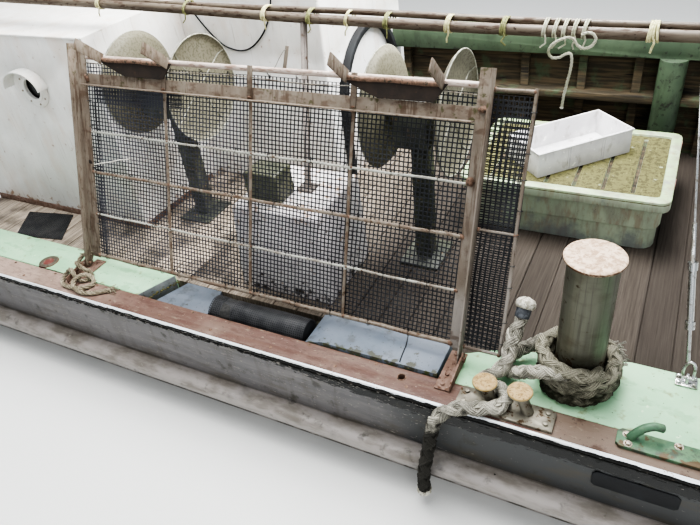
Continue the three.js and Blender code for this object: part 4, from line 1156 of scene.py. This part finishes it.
tie = {
    "thick": 1.3, "slackR": 5.6, "y": 5.2, "from": 96, "wander": 30, "to": 1740, "apart": (70, 210),
    "head": (862, 2.0), "stub": (0.0028, 0.0014), "stubLong": (0.012, 0.03),  # cut ends, in metres
    "edgeX": (1948, 52), "edgeR": 10, "edgeThick": 1.4, "edgeApart": 95, "edgeY": 3.5,
}
leanTurn = Matrix.Rotation(-screenLean, 4, "X")
ties = []
for h, r in bars["cross"] + (tie["head"],):
    x = tie["from"] + tie["wander"] * math.sin(h)
    rings, stubs = [], []
    while x < tie["to"]:
        tilt = Matrix.Rotation(math.pi / 2, 4, "Y") @ Matrix.Rotation(chance.uniform(-0.3, 0.3), 4, "X")
        rings.append(Matrix.Translation(onScreen(x, tie["y"], h)) @ leanTurn @ tilt)
        tail = onScreen(x, -r * 0.4, h + r + 4)
        fallen = Matrix.Rotation(chance.uniform(-0.9, 0.9), 4, "Y")
        long = chance.uniform(*tie["stubLong"])
        stubs.append(Matrix.Translation(tail) @ fallen @ Matrix.Diagonal((*tie["stub"], long, 1)))
        x += chance.uniform(*tie["apart"])
    ties += copies(hoop(r + tie["slackR"], tie["thick"], 12, 4), rings)
    bpy.ops.mesh.primitive_cube_add(size=1, location=(0, 0, 0))
    ties += copies(bpy.context.object, stubs)
rings = []
for h in range(40, 860, tie["edgeApart"]):
    for x in tie["edgeX"]:
        spot = onScreen(x, tie["edgeY"], h + chance.uniform(-20, 20))
        tilt = Matrix.Rotation(-screenLean + chance.uniform(-0.2, 0.2), 4, "X")
        rings.append(Matrix.Translation(spot) @ tilt)
ties += copies(hoop(tie["edgeR"], tie["edgeThick"], 12, 4), rings)
finished(joined(ties), "netTies", blackPlastic, "screen")

# A galvanised wire along the net's head, the stub with its twist of wire on the top pipe, and a string
wires = {
    "head": {"from": 54, "long": 1714, "y": -1.5, "h": 860, "wave": 5, "sag": 6, "r": 1.8},
    "stub": {"x": 1047, "y": 6, "h": 882, "lean": 0.12, "low": (-7, 0, 0), "high": (7, 4, 92)},
    "twist": ((1056, 4, 962), (1046, 2, 955), (1030, 0, 930), (1016, 2, 905), (1004, 6, 893),
              (1000, 16, 890)),
    "twistR": 1.2, "string": ((58, -3, 428), (97, -3, 439), (150, -3, 449), (214, -3, 468), (274, -3, 478)),
    "stringR": 2.2,
}
run = wires["head"]
headLine = []
for i in range(61):
    h = run["h"] + run["wave"] * math.cos(i / 4.1) - run["sag"] * math.sin(math.pi * i / 60)
    headLine.append(onScreen(run["from"] + run["long"] * i / 60, run["y"], h))
finished(tube(headLine, run["r"], resolution=2), "netHeadWire", zincWire, "screen")
stub = wires["stub"]
stubPlace = (Matrix.Translation(onScreen(stub["x"], stub["y"], stub["h"])) @ leanTurn
             @ Matrix.Rotation(stub["lean"], 4, "Y"))
finished(blockOn(stubPlace, stub["low"], stub["high"], 0.8), "pipeStub", angleIron, "screen")
twist = [onScreen(*spot) for spot in wires["twist"]]
finished(tube(twist, wires["twistR"], resolution=2), "stubWire", zincWire, "screen")
string = [onScreen(*spot) for spot in wires["string"]]
finished(tube(string, wires["stringR"], resolution=2), "screenString", whiteString, "screen")
stain = lump(onScreen(36, -1.5, 432), 17, (0.7, 0.12, 1.0), 0.1)  # a rust stain on the left post
finished(stain, "postStain", forkSteel, "screen")

print("forks")
fork = {
    "spans": ((162, 518), (1314, 1658)), "halfWide": 22, "halfThick": 3, "reach": 146, "root": (-12, 884),
    "rise": 22.9, "sheetY": -11, "sheetThick": 3, "rollY": -12, "rollH": 882, "rollR": 9,
}
for number, (a, b) in enumerate(fork["spans"], 1):
    hinge = (Matrix.Translation(onScreen(0, *fork["root"])) @ leanTurn
             @ Matrix.Rotation(-math.radians(fork["rise"]), 4, "X"))
    wide, thick = fork["halfWide"], fork["halfThick"]
    arm = blockOn(Matrix(), (-thick, -fork["reach"], -wide), (thick, 0, wide), 1.2)
    arms = copies(arm, [hinge @ Matrix.Translation((x / 1000, 0, 0)) for x in (a, b)])
    # Dark sheet folded round a bar between the arms, narrower at its foot
    outline = [(a - 16, 884), (b + 16, 884), (b - 26, 824), (a + 118, 822), (a - 2, 868)]
    sheet = flatFace([onScreen(x, fork["sheetY"], h) for x, h in outline])
    applied(sheet, "SOLIDIFY", thickness=fork["sheetThick"] / 1000, offset=0)
    settled()
    finished(joined(arms), f"screenFork{number}", angleIron, "screen", nodes=(f"screen_fork_{number}",))
    finished(sheet, f"forkSheet{number}", forkSteel, "screen")
    line = []
    for i in range(13):
        x = a + (b - a) * i / 12
        line.append(onScreen(x, fork["rollY"] - 0.8 * math.sin(i), fork["rollH"] - 1.5 * math.sin(i * 0.8)))
    finished(tube(line, fork["rollR"], resolution=4), f"forkRoll{number}", weldScale, "screen")

print("deck fittings")
post = {"x": 2204, "y": 258, "r": 76, "cap": 89, "height": 524, "sides": 96}
r, top, cap = post["r"], post["height"], post["cap"]
pipeProfile = [(r + 14, 0.4), (r + 16, 3), (r + 15, 7), (r + 4, 9), (r, 14), (r, 120), (r + 0.4, 260),
               (r, 400), (r, top - 18), (r + 1.5, top - 15), (r + 1, top - 13)]
pipePiece = turnedAt(pipeProfile, post["sides"], (post["x"], post["y"], 0))
finished(pipePiece, "bollardPipe", bollardSteel, nodes=("bollard",))
capProfile = [(cap - 14, -13.8), (cap - 3, -12.5), (cap - 0.6, -9), (cap, -6), (cap - 0.6, -3),
              (cap - 3, -0.8), (cap - 8, 0), (cap - 30, 0.6), (20, 0.9)]
capPiece = turnedAt(capProfile, post["sides"], (post["x"], post["y"], top - 1))
for vertex in capPiece.data.vertices:
    vertex.co.z += 0.0006 * math.sin(vertex.co.x * 190) * math.sin(vertex.co.y * 170)
finished(capPiece, "bollardCap", bollardCap)
horns = {
    "x": (1946, 2060), "y": 70, "z": 91, "cap": [(36.5, 0), (38.2, 0.8), (36, 2.2), (26, 3.4), (10, 3.8)],
}
spots = [Matrix.Translation(at(x, horns["y"], horns["z"])) for x in horns["x"]]
for number, hornCap in enumerate(copies(turnedShape(horns["cap"], 48), spots), 1):
    finished(hornCap, f"hornCap{number}", tanScale)


def slotScrew(r):
    # A low round head with a slot across it
    head = turnedShape([(r, 0), (r, 0.8), (r - 0.8, 1.4), (1.5, 1.5)], 20)
    groove = blockOn(Matrix(), (-r * 0.8, -0.7, 1.0), (r * 0.8, 0.7, 1.9), 0)
    return joined([head, groove])


hexBolt = {"bevel": 0.9, "washerWide": 1.45, "washerThick": 1.8}


def hexHeads(bolt):
    # Bolt heads on their washers, each turned at random
    tall, wide = bolt["tall"] / 1000, bolt["r"] * hexBolt["washerWide"] / 1000
    bpy.ops.mesh.primitive_cylinder_add(vertices=6, radius=bolt["r"] / 1000, depth=tall)
    head = bpy.context.object
    applied(head, "BEVEL", width=hexBolt["bevel"] / 1000, segments=2, limit_method="ANGLE")
    bpy.ops.mesh.primitive_cylinder_add(vertices=20, radius=wide, depth=hexBolt["washerThick"] / 1000,
                                        location=(0, 0, -tall / 2))
    washer = bpy.context.object
    bpy.ops.object.transform_apply(location=True)
    pair = joined([head, washer])
    bpy.ops.object.shade_smooth_by_angle(angle=math.radians(30))
    spots = []
    for x, y in bolt["at"]:
        turn = Matrix.Rotation(chance.uniform(0, 1), 4, "Z")
        spots.append(Matrix.Translation(at(x, y, bolt["z"] + bolt["tall"] / 2)) @ turn)
    return joined(copies(pair, spots))


capScrew = {"from": -1120, "to": 1860, "apart": 140, "y": (32, 95), "z": 0.1, "r": 6.5}
spots = []
for i, x in enumerate(range(capScrew["from"], capScrew["to"], capScrew["apart"])):
    spot = at(x + chance.uniform(-8, 8), capScrew["y"][i % 2], capScrew["z"])
    spots.append(Matrix.Translation(spot) @ Matrix.Rotation(chance.uniform(0, 3), 4, "Z"))
finished(joined(copies(slotScrew(capScrew["r"]), spots)), "capScrews", weldScale)
capHole = {"place": (1650, 68, 0.9), "r": 14.5, "thick": 1.8}
rim = hoop(capHole["r"], capHole["thick"], 32, 8)
rim.data.transform(Matrix.Translation(at(*capHole["place"])))
bpy.ops.object.shade_smooth()
finished(rim, "capHoleRim", weldScale)
chockBolt = {
    "r": 9, "tall": 7, "z": 13.4, "at": ((2384, 84), (2525, 92), (2676, 88), (2676, 50), (2390, 50)),
}
finished(hexHeads(chockBolt), "chockBolts", screwSteel)
eyeBolt = {"r": 6, "tall": 6, "z": 8.6, "at": ((2506, 362), (2552, 362), (2506, 392), (2552, 392))}
finished(hexHeads(eyeBolt), "padEyeBolts", forgedStainless)

# Red plug in its ring, and the slanted grey end of the left side deck
dressed("deck_disc", "deckPlug", discRed, "section", 1)
plug = {
    "place": (-248, 156, 0.6),
    "ring": [(25, 0), (25, 1.8), (27, 2.4), (43, 2.4), (45, 1.8), (45, 0), (25, 0)],
}
plugRing = turnedAt(plug["ring"], 48, plug["place"], filled=False)
finished(plugRing, "deckPlugRing", tarnishedRing)
deckEnd = {
    "outline": [(373.6, 107.6), (446.6, 274.8), (444.8, 275.8), (371.6, 108.6)], "low": -88, "high": -2.5,
}
up = (0, 0, (deckEnd["high"] - deckEnd["low"]) / 1000)
endFace = slab([at(x, y, deckEnd["low"]) for x, y in deckEnd["outline"]], up, 0.5)
finished(endFace, "deckEndFace", greyEnamel)

# Moss along the right cover's outer edge and the deck's cut end, and silt in the recess
moss = {
    "coverEnd": 1764, "coverLong": 520, "coverCount": 16, "end": (380, 110), "endTo": (74, 166), "endZ": -38,
    "endCount": 20,
}
tufts = []
for i in range(moss["coverCount"]):
    x = moss["coverEnd"] - moss["coverLong"] * chance.random() ** 1.8
    spot = at(x, chance.uniform(109, 113), chance.uniform(6, 11))
    tufts.append(lump(spot, chance.uniform(1.2, 2.6), (2.2, 0.6, 0.6), 0.3, 1))
for i in range(moss["endCount"]):
    share = i / (moss["endCount"] - 1)
    x = moss["end"][0] + moss["endTo"][0] * share + chance.uniform(0, 10)
    y = moss["end"][1] + moss["endTo"][1] * share
    spot = at(x, y, moss["endZ"] + chance.uniform(-2, 5))
    tufts.append(lump(spot, chance.uniform(3, 6.5), (1.2, 1.2, 0.6), 0.3, 1))
finished(joined(tufts), "mossTufts", mossGreen)
silt = {
    "x": (760, 1226), "y": (240, 296), "floor": -88, "count": 70, "size": (5, 16), "squash": (1.6, 1.2, 0.5),
}
clods = []
for i in range(silt["count"]):
    spot = at(chance.uniform(*silt["x"]), chance.uniform(*silt["y"]), silt["floor"] + chance.uniform(0, 6))
    clods.append(lump(spot, chance.uniform(*silt["size"]), silt["squash"], 0.3, 1))
finished(joined(clods), "recessSilt", mossyBoard)

# Black cord laid across the right cover
seam = {"z": 16.2, "r": 2, "route": ((1596, 281), (1601, 250), (1612, 205), (1616, 160), (1622, 120))}
coverCord = tube([at(x, y, seam["z"]) for x, y in seam["route"]], seam["r"], resolution=2)
finished(coverCord, "coverSeam", blackPlastic)

print("net roll")
roll = {
    "x": (750, 1214), "y": 176, "z": -29.7, "r": 58.5, "pitch": 9.2, "strand": 4.0, "thick": 1.6,
    "bandX": 809, "band": [(56.5, 0), (57, 0.5), (57, 51.5), (56.5, 52)],
    "core": [(20, 0), (38, 1.5), (52, 5), (54.5, 14), (55, 150), (54.6, 300), (55, 448), (52, 458),
             (38, 461), (20, 462.5)],
}
low, high = roll["x"]
sleeve = meshGrid(high - low - 8, 2 * math.pi * roll["r"], roll["pitch"], roll["strand"])
for vertex in sleeve.data.vertices:
    x = (low + high) / 2 + vertex.co.x * 1000
    angle = vertex.co.y * 1000 / roll["r"]
    pinched = 3 if abs(x - roll["bandX"] - 26) < 26 else 0
    reach = roll["r"] + 1.2 * math.sin(3 * angle + x / 60) - pinched
    vertex.co = at(x, roll["y"] + reach * math.sin(angle), roll["z"] + reach * math.cos(angle))
applied(sleeve, "SOLIDIFY", thickness=roll["thick"] / 1000, offset=0)
finished(sleeve, "netRollMesh", rollNet)
core = turnedAt(roll["core"], 48, (low + 1, roll["y"], roll["z"]), (1, 0, 0))
finished(core, "netRollCore", mouldedRubber, nodes=("net_roll",))
band = turnedAt(roll["band"], 64, (roll["bandX"], roll["y"], roll["z"]), (1, 0, 0))
finished(band, "netRollBand", rollBandCloth)

print("deckhouse")
outboard = (0, -1, 0)
porthole = {
    "x": -472, "z": 685, "face": 605, "glassBack": 12, "boltCircle": 79, "boltOut": 7.4,
    "ring": [(51, 0.4), (94, 0.4), (96, 1.5), (95.5, 4.5), (92, 7), (66, 8), (62, 12), (56, 13), (51, 12),
             (51, 0.4)],
    "glass": [(56, 0), (56, 4), (40, 4.6), (10, 5)], "bolt": [(5, 0), (5, 2.5), (3.6, 4), (1, 4.4)],
}
x, z, face = porthole["x"], porthole["z"], porthole["face"]
ringPiece = turnedAt(porthole["ring"], 72, (x, face, z), outboard, filled=False)
finished(ringPiece, "portholeRing", gelcoat, nodes=("porthole_ring",))
glassPiece = turnedAt(porthole["glass"], 64, (x, face + porthole["glassBack"], z), outboard)
finished(glassPiece, "portholeGlass", portGlass, nodes=("porthole_glass",))
spots = []
for angle in range(10, 370, 45):
    boltX = x + porthole["boltCircle"] * math.cos(math.radians(angle))
    boltZ = z + porthole["boltCircle"] * math.sin(math.radians(angle))
    spots.append(Matrix.Translation(at(boltX, face - porthole["boltOut"], boltZ)) @ turnFromUp(outboard))
ringBolts = joined(copies(turnedShape(porthole["bolt"], 16), spots))
finished(ringBolts, "portholeBolts", screwSteel)
hood = {"x": -486, "z": 694, "outer": 124, "inner": 117, "rise": 0.74, "thick": 7, "deep": 61, "sides": 40}
hoodLine = []
outerRise = hood["outer"] * hood["rise"]
for reach, rise, order in ((hood["outer"], outerRise, 1), (hood["inner"], outerRise - hood["thick"], -1)):
    for i in range(hood["sides"] + 1)[::order]:
        a = math.pi * i / hood["sides"]
        hoodLine.append(at(hood["x"] + reach * math.cos(a), face - 0.4, hood["z"] + rise * math.sin(a)))
eyebrow = slab(hoodLine, (0, -hood["deep"] / 1000, 0), 2)
finished(eyebrow, "portholeHood", gelcoat, nodes=("porthole_hood",))
trims = [
    ("casingFootStrip", (-1196, 599, -49), (-24, 604.6, -16), 1.5, rustedPlate),
    ("casingFootStripSide", (-24, 602, -49), (-18.6, 1180, -16), 1.5, rustedPlate),
    ("casingTopLip", (-1199, 599, 934), (-14, 604.7, 944.5), 2.5, gelcoat),
]
for name, corner, farCorner, bevel, material in trims:
    finished(block(corner, farCorner, bevel), name, material)
gland = {
    "at": ((20, 1250, 1010), (566, 1250, 1010)), "profile": [(10, 0), (10, 3), (7, 5), (6, 11), (4.5, 12)],
}
spots = [Matrix.Translation(at(*place)) @ turnFromUp(outboard) for place in gland["at"]]
glands = joined(copies(turnedShape(gland["profile"], 20), spots))
finished(glands, "cableGlands", mouldedRubber)
mat = {"wide": 302, "tall": 252, "pitch": 12, "strand": 5, "corner": (-715, 317), "along": (297, 54),
       "inboard": (-138, 211), "z": -46.6, "thick": 3}
matPiece = meshGrid(mat["wide"], mat["tall"], mat["pitch"], mat["strand"])
for vertex in matPiece.data.vertices:
    s, t = vertex.co.x * 1000 / mat["wide"] + 0.5, vertex.co.y * 1000 / mat["tall"] + 0.5
    matX = mat["corner"][0] + mat["along"][0] * s + mat["inboard"][0] * t
    matY = mat["corner"][1] + mat["along"][1] * s + mat["inboard"][1] * t
    vertex.co = at(matX, matY, mat["z"] + 1.2 * math.sin(s * 8) * math.sin(t * 5))
applied(matPiece, "SOLIDIFY", thickness=mat["thick"] / 1000, offset=0)
finished(matPiece, "deckMat", rollNet)

print("reels")
reel = {
    "y": 850, "at": (("left", 181.5, 652, 160), ("right", 1445, 641, 125)), "spokes": 4, "spokeR": 2.6,
    "disc": [(46, 5), (205, 9), (221, 16), (231, 25), (235, 29), (237, 30.6), (239, 30.4), (240, 29),
             (239.4, 27.4), (237.5, 26.5), (234, 24), (224, 13), (208, 4.5), (120, 2), (50, 1)],
    "hub": [(16, -30), (46, -30), (49, -27), (50, -20), (50, -4), (42, 6), (26, 9), (16, 9)],
    "spoke": ((0, 46), (2, 150), (4, 206), (22, 236)), "rimR": 238, "rimThick": 3.2, "rimOut": 31,
}


def onShaft(x, z, way=1):
    # The place of a part on a reel's shaft, facing to its right, or to its left where the way is -1
    return Matrix.Translation(at(x, reel["y"], z)) @ Matrix.Rotation(way * math.pi / 2, 4, "Y")


for name, x, z, half in reel["at"]:
    body = f"reel_{name}_body"
    shaft = turnedShape([(13, -half - 30), (15, -half - 28), (15, half + 28), (13, half + 30)], 32)
    parts = copies(shaft, [onShaft(x, z)])
    discSpots = [onShaft(x + way * (half + 1), z, way) for way in (-1, 1)]
    parts += copies(turnedShape(reel["disc"], 96), discSpots)
    hubSpots = [onShaft(x + way * half, z, way) for way in (-1, 1)]
    parts += copies(turnedShape(reel["hub"], 48), hubSpots)
    finished(joined(parts), f"reel{name.title()}", reelEnamel, body, nodes=(f"reel_{name}",))
    # Round spokes stiffen the right-hand disc, and both rims have a rolled wire
    bar = tube([Vector((out / 1000, 0, up / 1000)) for out, up in reel["spoke"]], reel["spokeR"],
               resolution=2)
    turns = [Matrix.Rotation(0.5 + 2 * k * math.pi / reel["spokes"], 4, "X") for k in range(reel["spokes"])]
    root = Matrix.Translation(at(x + half + 7, reel["y"], z))
    spokes = copies(bar, [root @ turn for turn in turns])
    wire = hoop(reel["rimR"], reel["rimThick"], 96, 8)
    bpy.ops.object.shade_smooth()
    spokes += copies(wire, [onShaft(x + way * (half + reel["rimOut"]), z) for way in (-1, 1)])
    finished(joined(spokes), f"reel{name.title()}Spokes", reelEdge, body)

print("rail")
rail = {
    "y": 750, "r": 17.5, "secondY": 782, "secondR": 11.5, "step": 40,
    "heights": [(-1180, 1078), (-500, 1058), (288, 1038), (1018, 1011), (1773, 995), (2700, 990)],
    "second": [(-1180, 1092), (-200, 1062), (650, 1038), (1240, 1030), (1830, 1014), (2700, 1008)],
    "clamps": [(-1100, 1074), (1033, 1009), (2650, 988)],
}
railLine = smoothRoute([(x, rail["y"], z) for x, z in rail["heights"]], rail["step"])
secondLine = smoothRoute([(x, rail["secondY"], z) for x, z in rail["second"]], rail["step"])
pipes = [tube([at(*p) for p in railLine], rail["r"], resolution=6),
         tube([at(*p) for p in secondLine], rail["secondR"], resolution=5)]
for x, z in rail["clamps"]:
    pipes.append(tube([at(x, rail["y"], z + 2), at(x, rail["secondY"], z + 18)], 8, resolution=3))
finished(joined(pipes), "awningRail", railPaint, nodes=("awning_rail",))

winding = {"y": 762, "deep": 35, "tall": 21.5, "lift": 7, "lean": 4, "wander": 3, "sides": 24, "tailY": 724}


def windings(x, turns, thick, name, material, spread=8.0):
    # A lashing round both pipes: loops side by side, with its end tucked and hanging
    z = min(railLine, key=lambda p: abs(p.x - x)).z
    parts = []
    for k in range(turns):
        loop, offset = [], (k - (turns - 1) / 2) * spread
        for i in range(winding["sides"] + 1):
            a = 2 * math.pi * i / winding["sides"]
            rise = (winding["tall"] + thick / 2) * math.sin(a) + winding["lean"] * math.cos(a)
            spotX = x + offset + winding["wander"] * math.sin(a + k)
            loop.append(at(spotX, winding["y"] + winding["deep"] * math.cos(a), z + winding["lift"] + rise))
        parts.append(tube(loop, thick / 2, resolution=2))
    y = winding["tailY"]
    tail = [at(x + 4, y + 4, z - 4), at(x + 7, y, z - 16), at(x + 3 + chance.uniform(-9, 9), y - 1, z - 30),
            at(x + chance.uniform(-14, 14), y, z - 44)]
    parts.append(tube(tail, thick / 2.4, resolution=2))
    finished(joined(parts), name, material)


# Each cord lashing as its place along the rail, its turns and its thickness
railCords = ((7, 3, 7), (484, 2, 6), (866, 3, 7), (1064, 3, 6), (1220, 2, 6), (1375, 3, 6), (1600, 3, 7),
             (1788, 3, 7), (2230, 4, 8))
for number, (x, turns, thick) in enumerate(railCords):
    windings(x, turns, thick, f"railLashing{number + 1}", mossyCord if number % 2 else yellowCord)
for number, x in enumerate((1918, 1950, 1978, 2008, 2038), 1):
    windings(x, 2, 6, f"railBinding{number}", bowFibre, spread=9)

print("box fittings")
box = {
    "groove": ((1, 1206, 184.2), (15, 1724, 187)), "grooveX": (1630, 1750, 1870, 1990, 2110, 2230),
    "latch": ((2386, 0, 168), (2393, 46, 199)), "latchY": (1700, 1325),
}
spots = [Matrix.Translation((x / 1000, 0, 0)) for x in box["grooveX"]]
grooves = joined(copies(block(*box["groove"], 0.5), spots))
finished(grooves, "lidDirt", bulwarkTimber)
spots = [Matrix.Translation((0, y / 1000, 0)) for y in box["latchY"]]
latches = joined(copies(block(*box["latch"]), spots))
finished(latches, "boxLatches", latchPlastic)
tray = {
    "corner": (1840, 1225, 196.3), "turn": 45.8, "long": 488, "wide": 250, "edge": 5, "from": 112,
    "to": 119.5, "rib": ((0, -3.4, 4), (4, -0.2, 112)), "ribX": (150, 162, 330, 342), "ribY": (0, 253.6),
}
trayPlace = Matrix.Translation(at(*tray["corner"])) @ Matrix.Rotation(math.radians(tray["turn"]), 4, "Z")
spots = [trayPlace @ Matrix.Translation((x / 1000, y / 1000, 0)) for x in tray["ribX"] for y in tray["ribY"]]
ribs = copies(blockOn(Matrix(), *tray["rib"], 0.8), spots)
long, wide, edge = tray["long"], tray["wide"], tray["edge"]
for x0, y0, x1, y1 in ((-edge, -edge, long + edge, 0), (-edge, wide, long + edge, wide + edge),
                       (-edge, 0, 0, wide), (long, 0, long + edge, wide)):
    ribs.append(blockOn(trayPlace, (x0, y0, tray["from"]), (x1, y1, tray["to"]), 1.5))
finished(joined(ribs), "trayRibs", trayPlastic)

print("frame nodes left showing")
for name, material in {"waterway_board": mossyBoard, "plank_deck": larchPlanks}.items():
    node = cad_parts[name]
    node.data.materials.clear()
    node.data.materials.append(material)

print("light and floor")
# A matt grey painted floor under an even, slightly blue sky
studio = {"floor": "#cfcfcc", "floorSize": 40, "floorGap": 0.002, "sky": "#e3e9f0", "skyStrength": 0.75}
bpy.ops.mesh.primitive_plane_add(size=studio["floorSize"], location=(0, 0, cadLow.z - studio["floorGap"]))
floor = bpy.context.object
floor.name = "floor"
floorPaint, _, floorShader = newMaterial("floorPaint", Roughness=0.9)
floorShader.inputs["Base Color"].default_value = linear(studio["floor"])
floor.data.materials.append(floorPaint)
floor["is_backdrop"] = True
world = bpy.data.worlds.new("studio")
bpy.context.scene.world = world
world.use_nodes = True
sky = world.node_tree.nodes["Background"]
sky.inputs["Color"].default_value = linear(studio["sky"])
sky.inputs["Strength"].default_value = studio["skyStrength"]
lamps = {
    "overhead": {"place": (-0.3, 0.4, 5.2), "aim": (0, 0.2, 0.2), "size": 4.5, "power": 400},
    "inboard": {"place": (0.3, 0.9, 3.6), "aim": (0.1, 0.3, 0.2), "size": 2.5, "power": 110},
    "front": {"place": (3.5, -5.0, 3.5), "aim": (0.3, 0, 0.3), "size": 4.0, "power": 120},
    "aft": {"place": (1.0, 0.95, 2.3), "aim": (-1.0, 0.6, 0.4), "size": 0.9, "power": 80},
}
for name, lamp in lamps.items():
    bpy.ops.object.light_add(type="AREA", location=lamp["place"])
    light = bpy.context.object
    light.name = name
    light.data.size = lamp["size"]
    light.data.energy = lamp["power"]
    light.visible_camera = False
    light.rotation_euler = (Vector(lamp["aim"]) - Vector(lamp["place"])).to_track_quat("-Z", "Y").to_euler()

low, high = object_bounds()
